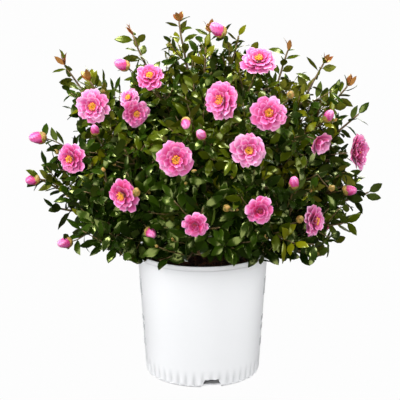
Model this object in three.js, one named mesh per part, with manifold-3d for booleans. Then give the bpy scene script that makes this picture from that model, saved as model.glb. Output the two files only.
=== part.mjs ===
// A camellia shrub in a white nursery pot. Millimetres, +Z up, origin under the pot's centre, +Y to the back.
import * as THREE from "three";
import { mergeVertices } from "three/addons/utils/BufferGeometryUtils.js";
import Module from "manifold-3d";

const wasm = await Module();
wasm.setup();

// ---- Driving dimensions ----------------------------------------------------------------------------------
const CLEARANCE = 0.3; // between neighbours that touch

const POT = {
  height: 269,
  rimRadius: 141,
  rimHeight: 10,
  rimStep: 3.2, // the wall's set-back under the rim
  footRadius: 122, // outside, just above the rounded foot
  footRounding: 8,
  roundingSteps: 3,
  lip: 2, // the rim's chamfer
  wall: 2.2,
  floor: 3,
  sides: 40,
};
const NOTCH = { count: 3, first: -81, low: 36, high: 23, height: 17, depth: 16 }; // drain slots in the foot
const SOIL_TOP = 251;
const SOIL_EDGE = { in: 4, down: 3 }; // the chamfer round the top of the mix
const SLOT_ROOM = 4; // between the mix and the drain slots

const HEART = new THREE.Vector3(0, 0, 300); // the crown spreads from here
const REACH = { side: 330, top: 400, rise: 0.7 }; // from the heart to the tips, but for the leaders
const UNDERSIDE = { level: 240, frontRise: 0.29 }; // the crown's underside, and how it rises to the front
const POT_ROOM = { radius: 150, top: 276 }; // leaves stay out of this, over and around the rim

// Limbs: radii at the foot and tip, and where the limb ends as a share of the reach.
const TRUNK = {
  flare: 15,
  flareShare: 0.11, // of the trunk's length
  base: 9,
  tip: 4,
  lean: [-14, 8],
  bends: [330, 420], // heights
  share: 0.4,
  buried: 8,
  sides: 8,
  steps: 9,
};
const BOUGH = { base: 4.4, tip: 2.8, sag: 0.08, share: 0.4, sides: 5, steps: 4 };
const STEM = { base: 3.4, tip: 3.0, share: 0.7, shootsFrom: 0.06, shootsTo: 0.97, sides: 4, steps: 3 };
const CORE = { share: 0.57, radius: 0.115, lumps: 0.2, waves: [4, 5, 4] }; // a mass's dense middle

// A shoot ends the way it points: it leaves its stem at a share of its named foot, and turns in its last part.
const SHOOT = { lift: 0.35, starts: [1, 0.5], turns: [0.42, 0.25, 0.1], hold: 0.75, probes: 8 };
const TWIG = { base: 1.4, tip: 1.1, sides: 3, steps: 2 };
const LEAF = {
  length: 76,
  width: 40,
  keel: 3,
  widest: 0.45,
  spacing: 11,
  bare: 0.2, // of the shoot, at its foot
  last: { leafy: 0.97, headed: 0.86 }, // the topmost leaf's share of the shoot
  turn: 137.5,
  open: [0.8, 1.2], // radians from the shoot
  topmost: 0.3, // how far the topmost leaf opens, as a share of that
  light: 0.5, // how much its face turns up
  beyond: 0.85, // the share of the topmost leaf past its shoot's tip
};

// Blooms and buds, in shares of their width or length.
const BLOOM = {
  petals: 6,
  seat: 0.2,
  gap: { radius: 0.84, height: -0.03 }, // between two petals
  rings: [
    { radius: 0, height: 0.1 }, // the eye
    { radius: 0.24, height: 0.2 }, // the inner petals' crest
    { radius: 0.5, height: 0.02 }, // the outer petals' edge
    { radius: 0, height: -0.22 }, // the calyx
  ],
};
const BUD = { seat: 0.4, girth: 0.34, sides: 6, rings: 3 };
const ROOM = { bud: 0.62, behind: 0.25, ahead: 1.1, aside: 0.54 }; // kept clear of twigs and leaves

// The crown's masses: a top one, and rings of others, by azimuth and elevation from the heart.
const TOP_AXIS = [-100, 86];
const RINGS = [
  { name: "upper", count: 5, elevation: 51, first: -90, fork: 322, forkStep: 16 },
  { name: "lower", count: 8, elevation: 12, first: -90, fork: 268, forkStep: 24 },
];

// Open blooms on the front: the place of the middle, the width, and the way each faces.
const BLOOMS = [
  { at: [-217, -130, 596], width: 68, faces: [-0.3, -0.9, 0.1] },
  { at: [-104, -130, 656], width: 58, faces: [-0.1, -0.75, 0.6] },
  { at: [-150, -58, 602], width: 46, faces: [-0.4, -0.7, 0.5] },
  { at: [-130, -170, 589], width: 56, faces: [0.25, -0.9, -0.1] },
  { at: [-50, -300, 524], width: 70, faces: [0.05, -1, 0.15] },
  { at: [-261, -150, 495], width: 64, faces: [-0.75, -0.6, 0] },
  { at: [-152, -270, 449], width: 70, faces: [-0.4, -0.85, -0.1] },
  { at: [-15, -330, 406], width: 50, faces: [-0.15, -1, 0] },
  { at: [106, -310, 429], width: 56, faces: [0.1, -1, 0.1] },
  { at: [85, -290, 540], width: 68, faces: [0.1, -1, 0.15] },
  { at: [223, -160, 371], width: 62, faces: [0.75, -0.6, 0.1] },
  { at: [326, -60, 489], width: 70, faces: [0.9, -0.35, 0] },
  { at: [125, -230, 599], width: 70, faces: [0.05, -0.9, 0.35] },
  { at: [34, -240, 626], width: 74, faces: [-0.3, -0.9, 0.3] },
  { at: [111, -100, 685], width: 72, faces: [0, -0.6, 0.75] },
  { at: [220, -180, 535], width: 42, faces: [0.5, -0.7, -0.3] },
];

// Swollen buds: the place of the middle, the length, and the way each points.
const BUDS = [
  { at: [-342, -20, 513], length: 38, faces: [-0.9, -0.2, 0.1] },
  { at: [-358, 0, 419], length: 32, faces: [-1, -0.1, -0.1] },
  { at: [-287, -60, 298], length: 34, faces: [-0.8, -0.5, 0] },
  { at: [-210, -180, 559], length: 24, faces: [-0.1, -0.5, 0.8] },
  { at: [-32, -270, 587], length: 26, faces: [0, -0.8, -0.6] },
  { at: [-4, -290, 570], length: 26, faces: [-0.3, -0.8, 0.6] },
  { at: [-100, -260, 372], length: 30, faces: [0.4, -0.8, -0.3] },
  { at: [31, 0, 734], length: 40, faces: [-0.7, -0.2, 0.6] },
  { at: [-163, -60, 670], length: 34, faces: [-0.8, -0.3, 0.4] },
  { at: [256, -60, 566], length: 30, faces: [0.4, -0.5, 0.7] },
  { at: [303, -60, 410], length: 32, faces: [0.8, -0.5, 0.1] },
  { at: [175, -230, 465], length: 28, faces: [0, -0.5, 0.9] },
];

// Tips of the shoots that stand out of the crown's outline.
const LEADERS = [
  [-300, 0, 681],
  [-242, -60, 656],
  [-151, 0, 746],
  [-51, 0, 775],
  [6, -60, 730],
  [108, 10, 742],
  [185, 0, 714],
  [263, 0, 685],
  [316, 0, 635],
  [345, 10, 573],
  [374, 0, 398],
  [342, 20, 328],
  [248, 0, 250],
  [294, -60, 300],
  [-379, 20, 430],
  [-339, 20, 359],
  [-204, -60, 262],
  [16, 180, 735],
  [36, 378, 400],
  [-94, 340, 590],
];

const LATTICE = { count: 110, lowest: -4, nearest: 9, reach: [0.7, 0.86] }; // degrees, shares of the reach
const BACK = { from: 70, bloomEvery: 4, budEvery: 5, bloomWidth: 66, budLength: 30 };
const SEED = 7;

// ---- Looks -----------------------------------------------------------------------------------------------
const MATERIALS = {
  pot: { color: 0xf3f4f6, roughness: 0.35 },
  soil: { color: 0x2a1a12, roughness: 0.95 },
  bark: { color: 0x6b4a32, roughness: 0.8 },
  foliage: { color: 0x24491a, roughness: 0.4 },
};
for (const [name, look] of Object.entries(MATERIALS))
  MATERIALS[name] = new THREE.MeshStandardMaterial({ ...look, metalness: 0, name });

// ---- Solids ----------------------------------------------------------------------------------------------
const vector = (list) => new THREE.Vector3(...list);
const radians = THREE.MathUtils.degToRad;
const lerp = THREE.MathUtils.lerp;

function seeded(seed) {
  let state = Math.imul(seed + 1, 2654435761) >>> 0;
  return () => {
    state = (Math.imul(state, 1664525) + 1013904223) >>> 0;
    return state / 4294967296;
  };
}

function solidOf(geometry) {
  const bare = new THREE.BufferGeometry();
  bare.setIndex(geometry.index);
  bare.setAttribute("position", geometry.getAttribute("position"));
  const merged = mergeVertices(bare, 1e-3);
  return new wasm.Manifold(
    new wasm.Mesh({
      numProp: 3,
      vertProperties: new Float32Array(merged.getAttribute("position").array),
      triVerts: new Uint32Array(merged.index.array),
    }),
  );
}

function geometryOf(solid) {
  const mesh = solid.getMesh();
  const geometry = new THREE.BufferGeometry();
  geometry.setAttribute("position", new THREE.BufferAttribute(mesh.vertProperties, 3));
  geometry.setIndex(new THREE.BufferAttribute(mesh.triVerts, 1));
  geometry.computeVertexNormals();
  return geometry;
}

function meshOf(name, solid, material) {
  const mesh = new THREE.Mesh(geometryOf(solid), material);
  mesh.name = name;
  return mesh;
}

// The largest of a solid's bodies: scraps that a cut left loose are dropped.
function largestBody(solid) {
  return solid.decompose().reduce((a, b) => (a.volume() > b.volume() ? a : b));
}

// A closed limb along a curve, whose radius follows radiusAt from 0 at the foot to 1 at the tip.
function limb(curve, radiusAt, sides, steps) {
  const geometry = new THREE.CylinderGeometry(1, 1, 1, sides, steps);
  const frames = curve.computeFrenetFrames(steps, false);
  const places = geometry.getAttribute("position");
  for (let i = 0; i < places.count; i++) {
    const step = Math.round((places.getY(i) + 0.5) * steps);
    const radius = radiusAt(step / steps);
    const place = curve
      .getPointAt(step / steps)
      .addScaledVector(frames.normals[step], places.getX(i) * radius)
      .addScaledVector(frames.binormals[step], -places.getZ(i) * radius);
    places.setXYZ(i, place.x, place.y, place.z);
  }
  return solidOf(geometry);
}

// The place and direction at a share of a limb's length, on the straight runs that its solid is made of.
function alongLimb(curve, steps, share) {
  const run = Math.min(Math.floor(share * steps), steps - 1);
  const [from, to] = [curve.getPointAt(run / steps), curve.getPointAt((run + 1) / steps)];
  return { place: from.clone().lerp(to, share * steps - run), onward: to.sub(from).normalize() };
}

// Moves a geometry that was made with its length along +X and its upper side to +Z.
function placed(geometry, origin, along, upper) {
  const x = along.clone().normalize();
  const y = new THREE.Vector3().crossVectors(upper, x).normalize();
  const z = new THREE.Vector3().crossVectors(x, y);
  geometry.applyMatrix4(new THREE.Matrix4().makeBasis(x, y, z).setPosition(origin));
  return geometry;
}

// ---- Pot and soil ----------------------------------------------------------------------------------------
function wallRadius(z) {
  return lerp(POT.footRadius, POT.rimRadius - POT.rimStep, z / (POT.height - POT.rimHeight));
}

function potSolid() {
  const rimFoot = POT.height - POT.rimHeight;
  const round = POT.footRounding;
  const profile = [new THREE.Vector2(0, 0)];
  for (let i = 0; i <= POT.roundingSteps; i++) {
    const turn = (Math.PI / 2) * (i / POT.roundingSteps);
    profile.push(
      new THREE.Vector2(
        wallRadius(round) - round + round * Math.sin(turn),
        round - round * Math.cos(turn),
      ),
    );
  }
  profile.push(
    new THREE.Vector2(wallRadius(rimFoot), rimFoot),
    new THREE.Vector2(POT.rimRadius, rimFoot),
    new THREE.Vector2(POT.rimRadius, POT.height - POT.lip),
    new THREE.Vector2(POT.rimRadius - POT.lip, POT.height),
    new THREE.Vector2(wallRadius(POT.height) - POT.wall, POT.height),
    new THREE.Vector2(wallRadius(POT.floor) - POT.wall, POT.floor),
    new THREE.Vector2(0, POT.floor),
  );
  const shell = new THREE.LatheGeometry(profile, POT.sides).rotateX(Math.PI / 2);
  return drainSlots().reduce((pot, slot) => pot.subtract(slot), solidOf(shell));
}

// Drain slots: trapezoids let into the foot, through its wall and the edge of its floor.
function drainSlots() {
  const below = 5;
  const outline = new THREE.Shape([
    new THREE.Vector2(-NOTCH.low / 2, -below),
    new THREE.Vector2(NOTCH.low / 2, -below),
    new THREE.Vector2(NOTCH.low / 2, 0),
    new THREE.Vector2(NOTCH.high / 2, NOTCH.height),
    new THREE.Vector2(-NOTCH.high / 2, NOTCH.height),
    new THREE.Vector2(-NOTCH.low / 2, 0),
  ]);
  const outside = 20;
  return Array.from({ length: NOTCH.count }, (_, i) => {
    const slot = new THREE.ExtrudeGeometry(outline, {
      depth: NOTCH.depth + outside,
      bevelEnabled: false,
    });
    slot.rotateX(Math.PI / 2).rotateZ(Math.PI / 2);
    slot.translate(POT.footRadius - NOTCH.depth, 0, 0);
    slot.rotateZ(radians(NOTCH.first + (360 / NOTCH.count) * i));
    return solidOf(slot);
  });
}

// The root ball and its potting mix, which fill the pot to just under the rim and clear its drain slots.
function soilSolid() {
  const inset = POT.wall + CLEARANCE;
  const foot = POT.floor + CLEARANCE;
  const slotTop = foot + NOTCH.height + SLOT_ROOM;
  const profile = [
    [0, foot],
    [POT.footRadius - NOTCH.depth - SLOT_ROOM, foot],
    [wallRadius(slotTop) - inset, slotTop],
    [wallRadius(SOIL_TOP - SOIL_EDGE.down) - inset, SOIL_TOP - SOIL_EDGE.down],
    [wallRadius(SOIL_TOP) - inset - SOIL_EDGE.in, SOIL_TOP],
    [0, SOIL_TOP],
  ].map(([radius, z]) => new THREE.Vector2(radius, z));
  return solidOf(new THREE.LatheGeometry(profile, POT.sides).rotateX(Math.PI / 2));
}

// ---- The crown's plan ------------------------------------------------------------------------------------
function directionAt(azimuth, elevation) {
  const [a, e] = [radians(azimuth), radians(elevation)];
  return new THREE.Vector3(Math.cos(a) * Math.cos(e), Math.sin(a) * Math.cos(e), Math.sin(e));
}

function reachAlong(direction) {
  const rise = Math.max(direction.z, 0) ** REACH.rise;
  return lerp(REACH.side, REACH.top, rise);
}

function fromHeart(direction, share) {
  return HEART.clone().addScaledVector(direction, reachAlong(direction) * share);
}

function planMasses() {
  const masses = [{ name: "top", axis: directionAt(...TOP_AXIS), shoots: [] }];
  for (const ring of RINGS)
    for (let i = 0; i < ring.count; i++)
      masses.push({
        name: `${ring.name}_${i + 1}`,
        axis: directionAt(ring.first + (360 / ring.count) * i, ring.elevation),
        fork: ring.fork + ring.forkStep * (i % 2),
        shoots: [],
      });
  return masses;
}

const trunkCurve = new THREE.CubicBezierCurve3(
  new THREE.Vector3(0, 0, SOIL_TOP - TRUNK.buried),
  new THREE.Vector3(TRUNK.lean[0], TRUNK.lean[1], TRUNK.bends[0]),
  new THREE.Vector3(TRUNK.lean[0], -TRUNK.lean[1], TRUNK.bends[1]),
  fromHeart(directionAt(...TOP_AXIS), TRUNK.share),
);

function trunkRadius(share) {
  const flare = Math.max(0, 1 - share / TRUNK.flareShare) ** 2;
  return lerp(TRUNK.base, TRUNK.tip, share) + (TRUNK.flare - TRUNK.base) * flare;
}

// The trunk's middle at a height: it rises all the way, so a few halvings find it.
function trunkAt(height) {
  let [low, high] = [0, 1];
  for (let i = 0; i < 20; i++) {
    const middle = (low + high) / 2;
    if (trunkCurve.getPointAt(middle).z < height) low = middle;
    else high = middle;
  }
  return trunkCurve.getPointAt(low);
}

function boughCurve(mass) {
  const foot = trunkAt(mass.fork);
  const tip = fromHeart(mass.axis, BOUGH.share);
  const bend = foot.clone().lerp(tip, 0.5);
  bend.z -= foot.distanceTo(tip) * BOUGH.sag;
  return new THREE.QuadraticBezierCurve3(foot, bend, tip);
}

// A mass's own stem runs on from the tip of its bough or the trunk, just clear of it.
function stemCurve(mass) {
  const limbCurve = mass.fork ? mass.bough : trunkCurve;
  const onward = limbCurve.getTangentAt(1);
  const foot = limbCurve.getPointAt(1).addScaledVector(onward, CLEARANCE);
  const tip = fromHeart(mass.axis, STEM.share);
  const bend = foot.clone().addScaledVector(onward, foot.distanceTo(tip) * 0.5);
  return new THREE.QuadraticBezierCurve3(foot, bend, tip);
}

function massOf(point) {
  const direction = point.clone().sub(HEART).normalize();
  return masses.reduce((a, b) => (b.axis.dot(direction) > a.axis.dot(direction) ? b : a));
}

// A mass's space is the cone of points whose way from the heart lies nearest its axis.
function inSpace(mass, point, margin) {
  const way = point.clone().sub(HEART);
  const out = Math.hypot(point.x, point.y);
  const underside = UNDERSIDE.level + UNDERSIDE.frontRise * Math.max(-point.y, 0);
  if (point.z < underside || (out < POT_ROOM.radius && point.z < POT_ROOM.top)) return false;
  return masses.every((other) => {
    if (other === mass) return true;
    const across = mass.axis.clone().sub(other.axis).normalize();
    return way.dot(across) > margin;
  });
}

// Every shoot of the crown: those with a named tip, then a lattice of tips that fills the rest evenly.
function planShoots() {
  const shoots = [
    ...BLOOMS.map((b) => bloomShoot(vector(b.at), vector(b.faces).normalize(), b.width)),
    ...BUDS.map((b) => budShoot(vector(b.at), vector(b.faces).normalize(), b.length)),
    ...LEADERS.map((tip) => leaderShoot(vector(tip))),
  ];
  const taken = shoots.map((s) => s.tip.clone().sub(HEART).normalize());
  const golden = Math.PI * (3 - Math.sqrt(5));
  const lowest = Math.sin(radians(LATTICE.lowest));
  const random = seeded(SEED);
  let atBack = 0;
  for (let i = 0; i < LATTICE.count; i++) {
    const z = lerp(lowest, 1, (i + 0.5) / LATTICE.count);
    const out = Math.sqrt(1 - z * z);
    const direction = new THREE.Vector3(Math.cos(golden * i) * out, Math.sin(golden * i) * out, z);
    const share = lerp(...LATTICE.reach, random());
    if (taken.some((t) => t.angleTo(direction) < radians(LATTICE.nearest))) continue;
    const tip = fromHeart(direction, share);
    if (tip.y > BACK.from) atBack++;
    if (tip.y > BACK.from && atBack % BACK.bloomEvery === 0)
      shoots.push(bloomShoot(tip, direction, BACK.bloomWidth));
    else if (tip.y > BACK.from && atBack % BACK.budEvery === 0)
      shoots.push(budShoot(tip, direction, BACK.budLength));
    else shoots.push({ kind: "plain", tip });
  }
  shoots.forEach((shoot, i) => {
    shoot.seed = i;
    massOf(shoot.tip).shoots.push(shoot);
  });
  for (const mass of masses) spreadFeet(mass);
  return shoots;
}

// A mass's shoots leave its stem one after another, those that point furthest from its axis first.
function spreadFeet(mass) {
  const turn = (shoot) => shoot.tip.clone().sub(HEART).angleTo(mass.axis);
  mass.shoots.sort((a, b) => turn(b) - turn(a));
  mass.shoots.forEach((shoot, i) => {
    shoot.foot = lerp(STEM.shootsFrom, STEM.shootsTo, (i + 0.5) / mass.shoots.length);
  });
}

// A leader's last leaf ends at the named tip, so its wood ends short of it.
function leaderShoot(leafTip) {
  const outward = leafTip.clone().sub(HEART).normalize();
  return { kind: "leader", tip: leafTip.clone().addScaledVector(outward, -LEAF.beyond * LEAF.length) };
}

function bloomShoot(middle, faces, width) {
  const tip = middle.clone().addScaledVector(faces, -BLOOM.seat * width);
  return { kind: "bloom", middle, faces, width, tip };
}

function budShoot(middle, faces, length) {
  const tip = middle.clone().addScaledVector(faces, -BUD.seat * length);
  return { kind: "bud", middle, faces, length, tip };
}

// A shoot turns to end the way it points. The more its way is barred, the less it turns.
function shootCurve(mass, shoot) {
  const outward = shoot.tip.clone().sub(HEART).normalize();
  const ending = shoot.faces ?? outward.add(new THREE.Vector3(0, 0, SHOOT.lift)).normalize();
  for (const start of SHOOT.starts)
    for (const turn of SHOOT.turns) {
      const foot = alongLimb(mass.stem, STEM.steps, shoot.foot * start).place;
      const length = foot.distanceTo(shoot.tip);
      const bend = foot.clone().lerp(shoot.tip, 1 - turn);
      bend.lerp(shoot.tip.clone().addScaledVector(ending, -turn * length), SHOOT.hold);
      const curve = new THREE.QuadraticBezierCurve3(foot, bend, shoot.tip);
      if (twigFits(mass, curve, shoot)) return curve;
    }
  return null;
}

// The foot, which is at the stem among other feet, isn't tested.
function twigFits(mass, curve, shoot) {
  for (let i = 2; i < SHOOT.probes; i++) {
    const place = curve.getPoint(i / SHOOT.probes);
    if (!inSpace(mass, place, TWIG.base + CLEARANCE)) return false;
    if (heads.some((head) => head !== shoot && inRoomOf(head, place))) return false;
  }
  return true;
}

// ---- Leaves, blooms and buds -----------------------------------------------------------------------------
// A leaf blade: a kite with a keel under it, drawn out to its root and its tip.
function leafGeometry() {
  const blade = new THREE.SphereGeometry(1, 3, 2).rotateZ(-Math.PI / 2);
  const places = blade.getAttribute("position");
  for (let i = 0; i < places.count; i++) {
    const [along, across, up] = [places.getX(i), places.getZ(i), -places.getY(i)];
    const x = Math.abs(along) < 0.5 ? LEAF.widest : (along + 1) / 2;
    const aside = (across / Math.sin(Math.PI / 3)) * (LEAF.width / 2);
    places.setXYZ(i, x * LEAF.length, aside, Math.min(up, 0) * LEAF.keel);
  }
  return blade;
}

function bloomSolid(shoot) {
  const rosette = new THREE.SphereGeometry(1, BLOOM.petals * 2, BLOOM.rings.length - 1);
  const places = rosette.getAttribute("position");
  const columns = BLOOM.petals * 2 + 1;
  for (let i = 0; i < places.count; i++) {
    const column = i % columns;
    const ring = BLOOM.rings[Math.floor(i / columns)];
    const inGap = column % 2 && ring.radius;
    const turn = (2 * Math.PI * column) / (columns - 1);
    const radius = ring.radius * (inGap ? BLOOM.gap.radius : 1) * shoot.width;
    const height = (ring.height + (inGap ? BLOOM.gap.height : 0)) * shoot.width;
    places.setXYZ(i, height, Math.cos(turn) * radius, Math.sin(turn) * radius);
  }
  return solidOf(placed(rosette, shoot.middle, shoot.faces, sideOf(shoot.faces)));
}

function budSolid(shoot) {
  const bud = new THREE.SphereGeometry(1, BUD.sides, BUD.rings).rotateZ(-Math.PI / 2);
  bud.scale(shoot.length / 2, shoot.length * BUD.girth, shoot.length * BUD.girth);
  return solidOf(placed(bud, shoot.middle, shoot.faces, sideOf(shoot.faces)));
}

function sideOf(direction) {
  const away = Math.abs(direction.z) > 0.9 ? new THREE.Vector3(1, 0, 0) : new THREE.Vector3(0, 0, 1);
  return away.addScaledVector(direction, -away.dot(direction)).normalize();
}

// Whether a point lies in the room of a bloom or bud: its own, and the clear way in front of a bloom.
function inRoomOf(head, point) {
  const way = point.clone().sub(head.middle);
  if (head.kind === "bud") return way.length() < ROOM.bud * head.length;
  const ahead = way.dot(head.faces);
  const aside = way.addScaledVector(head.faces, -ahead).length();
  const between = ahead > -ROOM.behind * head.width && ahead < ROOM.ahead * head.width;
  return between && aside < ROOM.aside * head.width;
}

// The leaves of one shoot, turned from one to the next, each tilted out with its face away from the heart.
function leavesOf(mass, shoot, curve) {
  const random = seeded(SEED + shoot.seed);
  const count = Math.floor((curve.getLength() * (1 - LEAF.bare)) / LEAF.spacing);
  const leafy = shoot.kind === "plain" || shoot.kind === "leader";
  const last = leafy ? LEAF.last.leafy : LEAF.last.headed;
  const leaves = [];
  for (let i = 0; i < count; i++) {
    const share = lerp(last, LEAF.bare, i / count);
    const { place: foot, onward } = alongLimb(curve, TWIG.steps, share);
    const side = sideOf(onward).applyAxisAngle(onward, radians(LEAF.turn) * i + random());
    const open = lerp(...LEAF.open, random()) * (i === 0 && leafy ? LEAF.topmost : 1);
    const along = onward.clone().multiplyScalar(Math.cos(open)).addScaledVector(side, Math.sin(open));
    const light = foot.clone().sub(HEART).normalize().add(new THREE.Vector3(0, 0, LEAF.light));
    const upper = light.addScaledVector(along, -light.dot(along)).normalize();
    const blade = placed(leafGeometry(), foot, along, upper);
    if (bladeFits(mass, blade)) leaves.push(solidOf(blade));
  }
  return leaves;
}

function bladeFits(mass, blade) {
  const places = blade.getAttribute("position");
  const corners = [];
  for (let i = 0; i < places.count; i++) corners.push(new THREE.Vector3().fromBufferAttribute(places, i));
  if (!corners.every((c) => inSpace(mass, c, CLEARANCE))) return false;
  const middle = corners.reduce((sum, c) => sum.add(c), new THREE.Vector3()).divideScalar(corners.length);
  const tested = corners.concat(corners.map((c) => c.clone().lerp(middle, 0.5)), middle);
  return heads.every((head) => !tested.some((c) => inRoomOf(head, c)));
}

// Whether two solids touch, told by their boxes first.
function meet(a, b) {
  const [boxA, boxB] = [a.boundingBox(), b.boundingBox()];
  const apart = [0, 1, 2].some((i) => boxA.max[i] < boxB.min[i] || boxB.max[i] < boxA.min[i]);
  return !apart && !a.intersect(b).isEmpty();
}

// ---- Assembly --------------------------------------------------------------------------------------------
const masses = planMasses();
for (const mass of masses) {
  if (mass.fork) mass.bough = boughCurve(mass);
  mass.stem = stemCurve(mass);
}
const shoots = planShoots();
const heads = shoots.filter((shoot) => shoot.middle);

const trunkWith = (extra) =>
  limb(trunkCurve, (s) => trunkRadius(s) + extra, TRUNK.sides, TRUNK.steps).trimByPlane(
    [0, 0, 1],
    SOIL_TOP + CLEARANCE - extra,
  );
const boughWith = (mass, extra) =>
  limb(mass.bough, (s) => lerp(BOUGH.base, BOUGH.tip, s) + extra, BOUGH.sides, BOUGH.steps);
const aroundTrunk = trunkWith(CLEARANCE);
const boughed = masses.filter((mass) => mass.bough);
const limbRoom = [aroundTrunk, ...boughed.map((mass) => boughWith(mass, CLEARANCE))];

// The dense middle of a mass, which its twigs and leaves stand out of: a lumpy ball.
function coreSolid(mass) {
  const size = reachAlong(mass.axis) * CORE.radius;
  const middle = fromHeart(mass.axis, CORE.share);
  const ball = new THREE.IcosahedronGeometry(1, 1);
  const places = ball.getAttribute("position");
  for (let i = 0; i < places.count; i++) {
    const way = new THREE.Vector3().fromBufferAttribute(places, i);
    const [x, y, z] = ["x", "y", "z"].map((axis, j) => CORE.waves[j] * way[axis] + middle[axis]);
    const lump = Math.sin(x) * Math.sin(y) * Math.cos(z);
    const place = way.multiplyScalar(size * (1 + CORE.lumps * lump)).add(middle);
    places.setXYZ(i, place.x, place.y, place.z);
  }
  return solidOf(ball);
}

// A mass: stem, core, shoots with their blooms and buds, then each leaf that touches nothing but its own twig.
function massSolid(mass) {
  const stem = limb(mass.stem, (s) => lerp(STEM.base, STEM.tip, s), STEM.sides, STEM.steps);
  const wood = [stem, coreSolid(mass)];
  const blades = [];
  for (const shoot of mass.shoots) {
    const curve = shootCurve(mass, shoot);
    if (!curve) continue;
    const twig = limb(curve, (s) => lerp(TWIG.base, TWIG.tip, s), TWIG.sides, TWIG.steps);
    if (limbRoom.some((room) => meet(room, twig))) continue;
    wood.push(twig);
    if (shoot.kind === "bloom") wood.push(bloomSolid(shoot));
    if (shoot.kind === "bud") wood.push(budSolid(shoot));
    blades.push(...leavesOf(mass, shoot, curve).map((leaf) => ({ leaf, twig })));
  }
  const kept = [];
  for (const { leaf, twig } of blades)
    if (![...limbRoom, ...kept, ...wood].some((other) => other !== twig && meet(other, leaf)))
      kept.push(leaf);
  return largestBody(wasm.Manifold.union([...wood, ...kept]));
}

const pot = new THREE.Group();
pot.add(meshOf("pot", potSolid(), MATERIALS.pot));
pot.add(meshOf("soil", soilSolid(), MATERIALS.soil));

const limbs = new THREE.Group();
limbs.add(meshOf("trunk", trunkWith(0), MATERIALS.bark));
for (const mass of boughed) {
  const bough = largestBody(boughWith(mass, 0).subtract(aroundTrunk));
  limbs.add(meshOf(`bough_${mass.name}`, bough, MATERIALS.bark));
}

const foliage = new THREE.Group();
for (const mass of masses) foliage.add(meshOf(`foliage_${mass.name}`, massSolid(mass), MATERIALS.foliage));

const shrub = new THREE.Group();
shrub.add(pot, limbs, foliage);

export default shrub;
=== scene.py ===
"""A camellia shrub in flower, in its white nursery pot: its looks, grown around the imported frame.

The crown grows by the rule that the part's own source follows, in millimetres, from the same named sizes, and
goes on from there to side twigs, natural leaves and full petals. Points become metres when a mesh is made.
"""

import itertools
import math

import bpy
import numpy as np
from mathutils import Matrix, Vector

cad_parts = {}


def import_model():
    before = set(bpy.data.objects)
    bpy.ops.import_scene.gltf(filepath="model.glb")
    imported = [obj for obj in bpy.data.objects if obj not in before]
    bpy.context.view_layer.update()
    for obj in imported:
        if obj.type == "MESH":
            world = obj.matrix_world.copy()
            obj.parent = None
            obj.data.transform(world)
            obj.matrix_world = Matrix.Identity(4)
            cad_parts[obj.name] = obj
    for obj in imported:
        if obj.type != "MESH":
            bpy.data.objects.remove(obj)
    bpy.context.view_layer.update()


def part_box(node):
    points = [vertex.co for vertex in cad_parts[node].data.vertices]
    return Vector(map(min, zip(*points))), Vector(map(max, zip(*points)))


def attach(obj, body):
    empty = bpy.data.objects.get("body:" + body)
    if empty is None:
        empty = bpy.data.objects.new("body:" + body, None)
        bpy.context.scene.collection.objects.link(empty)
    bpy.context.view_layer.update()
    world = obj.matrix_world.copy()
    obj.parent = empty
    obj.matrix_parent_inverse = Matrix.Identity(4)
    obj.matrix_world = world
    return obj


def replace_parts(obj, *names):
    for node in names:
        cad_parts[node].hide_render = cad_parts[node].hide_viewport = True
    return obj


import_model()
MM = 0.001
TURN = 2 * math.pi
NEAR_TURN = 6.28  # random phases, and the mix's waves

# ---- The crown's plan: the sizes that the part's source grows it by ----------------------------------------
CLEARANCE = 0.3
SOIL_TOP = 251
HEART = np.array([0.0, 0.0, 300.0])  # the crown spreads from here
REACH_SIDE, REACH_TOP, REACH_RISE = 330, 400, 0.7  # from the heart to the furthest tips
UNDERSIDE_LEVEL, UNDERSIDE_FRONT_RISE = 240, 0.29
POT_ROOM_RADIUS, POT_ROOM_TOP = 150, 276  # leaves stay out of this, over and around the rim

TRUNK_BASE, TRUNK_TIP, TRUNK_FLARE, TRUNK_LEAN, TRUNK_BURIED = 9, 4, 15, (-14, 8), 8
BOUGH_BASE, BOUGH_TIP, LIMB_SHARE = 4.4, 2.8, 0.4  # limbs end at this share of the reach
BOUGH_SAG = 0.08
STEM_TIP, STEM_SHARE = 2.2, 0.7
TWIG_BASE, TWIG_TIP = 2.2, 1.2
SHOOT_FEET = (0.06, 0.97)  # where a stem's first and last shoots leave it
SHOOT_LIFT, SHOOT_TURNS, SHOOT_HOLD, SHOOT_PROBES = 0.35, (0.42, 0.25, 0.1), 0.75, 8
LEADER_SEAT = 0.85 * 76  # from a leader's wood to its tip, along the source's leaf, which is longer than life
BLOOM_SEAT, BUD_SEAT = 0.2, 0.4  # from the twig's end to the middle, as shares of the width and length
ROOM = {"bud": 0.62, "behind": -0.25, "ahead": 1.1, "aside": 0.54}  # kept clear of twigs and leaves

TOP_AXIS = (-100, 86)
RINGS = [
    {"name": "upper", "count": 5, "elevation": 51, "first": -90, "fork": 322, "fork_step": 16},
    {"name": "lower", "count": 8, "elevation": 12, "first": -90, "fork": 268, "fork_step": 24},
]

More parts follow.
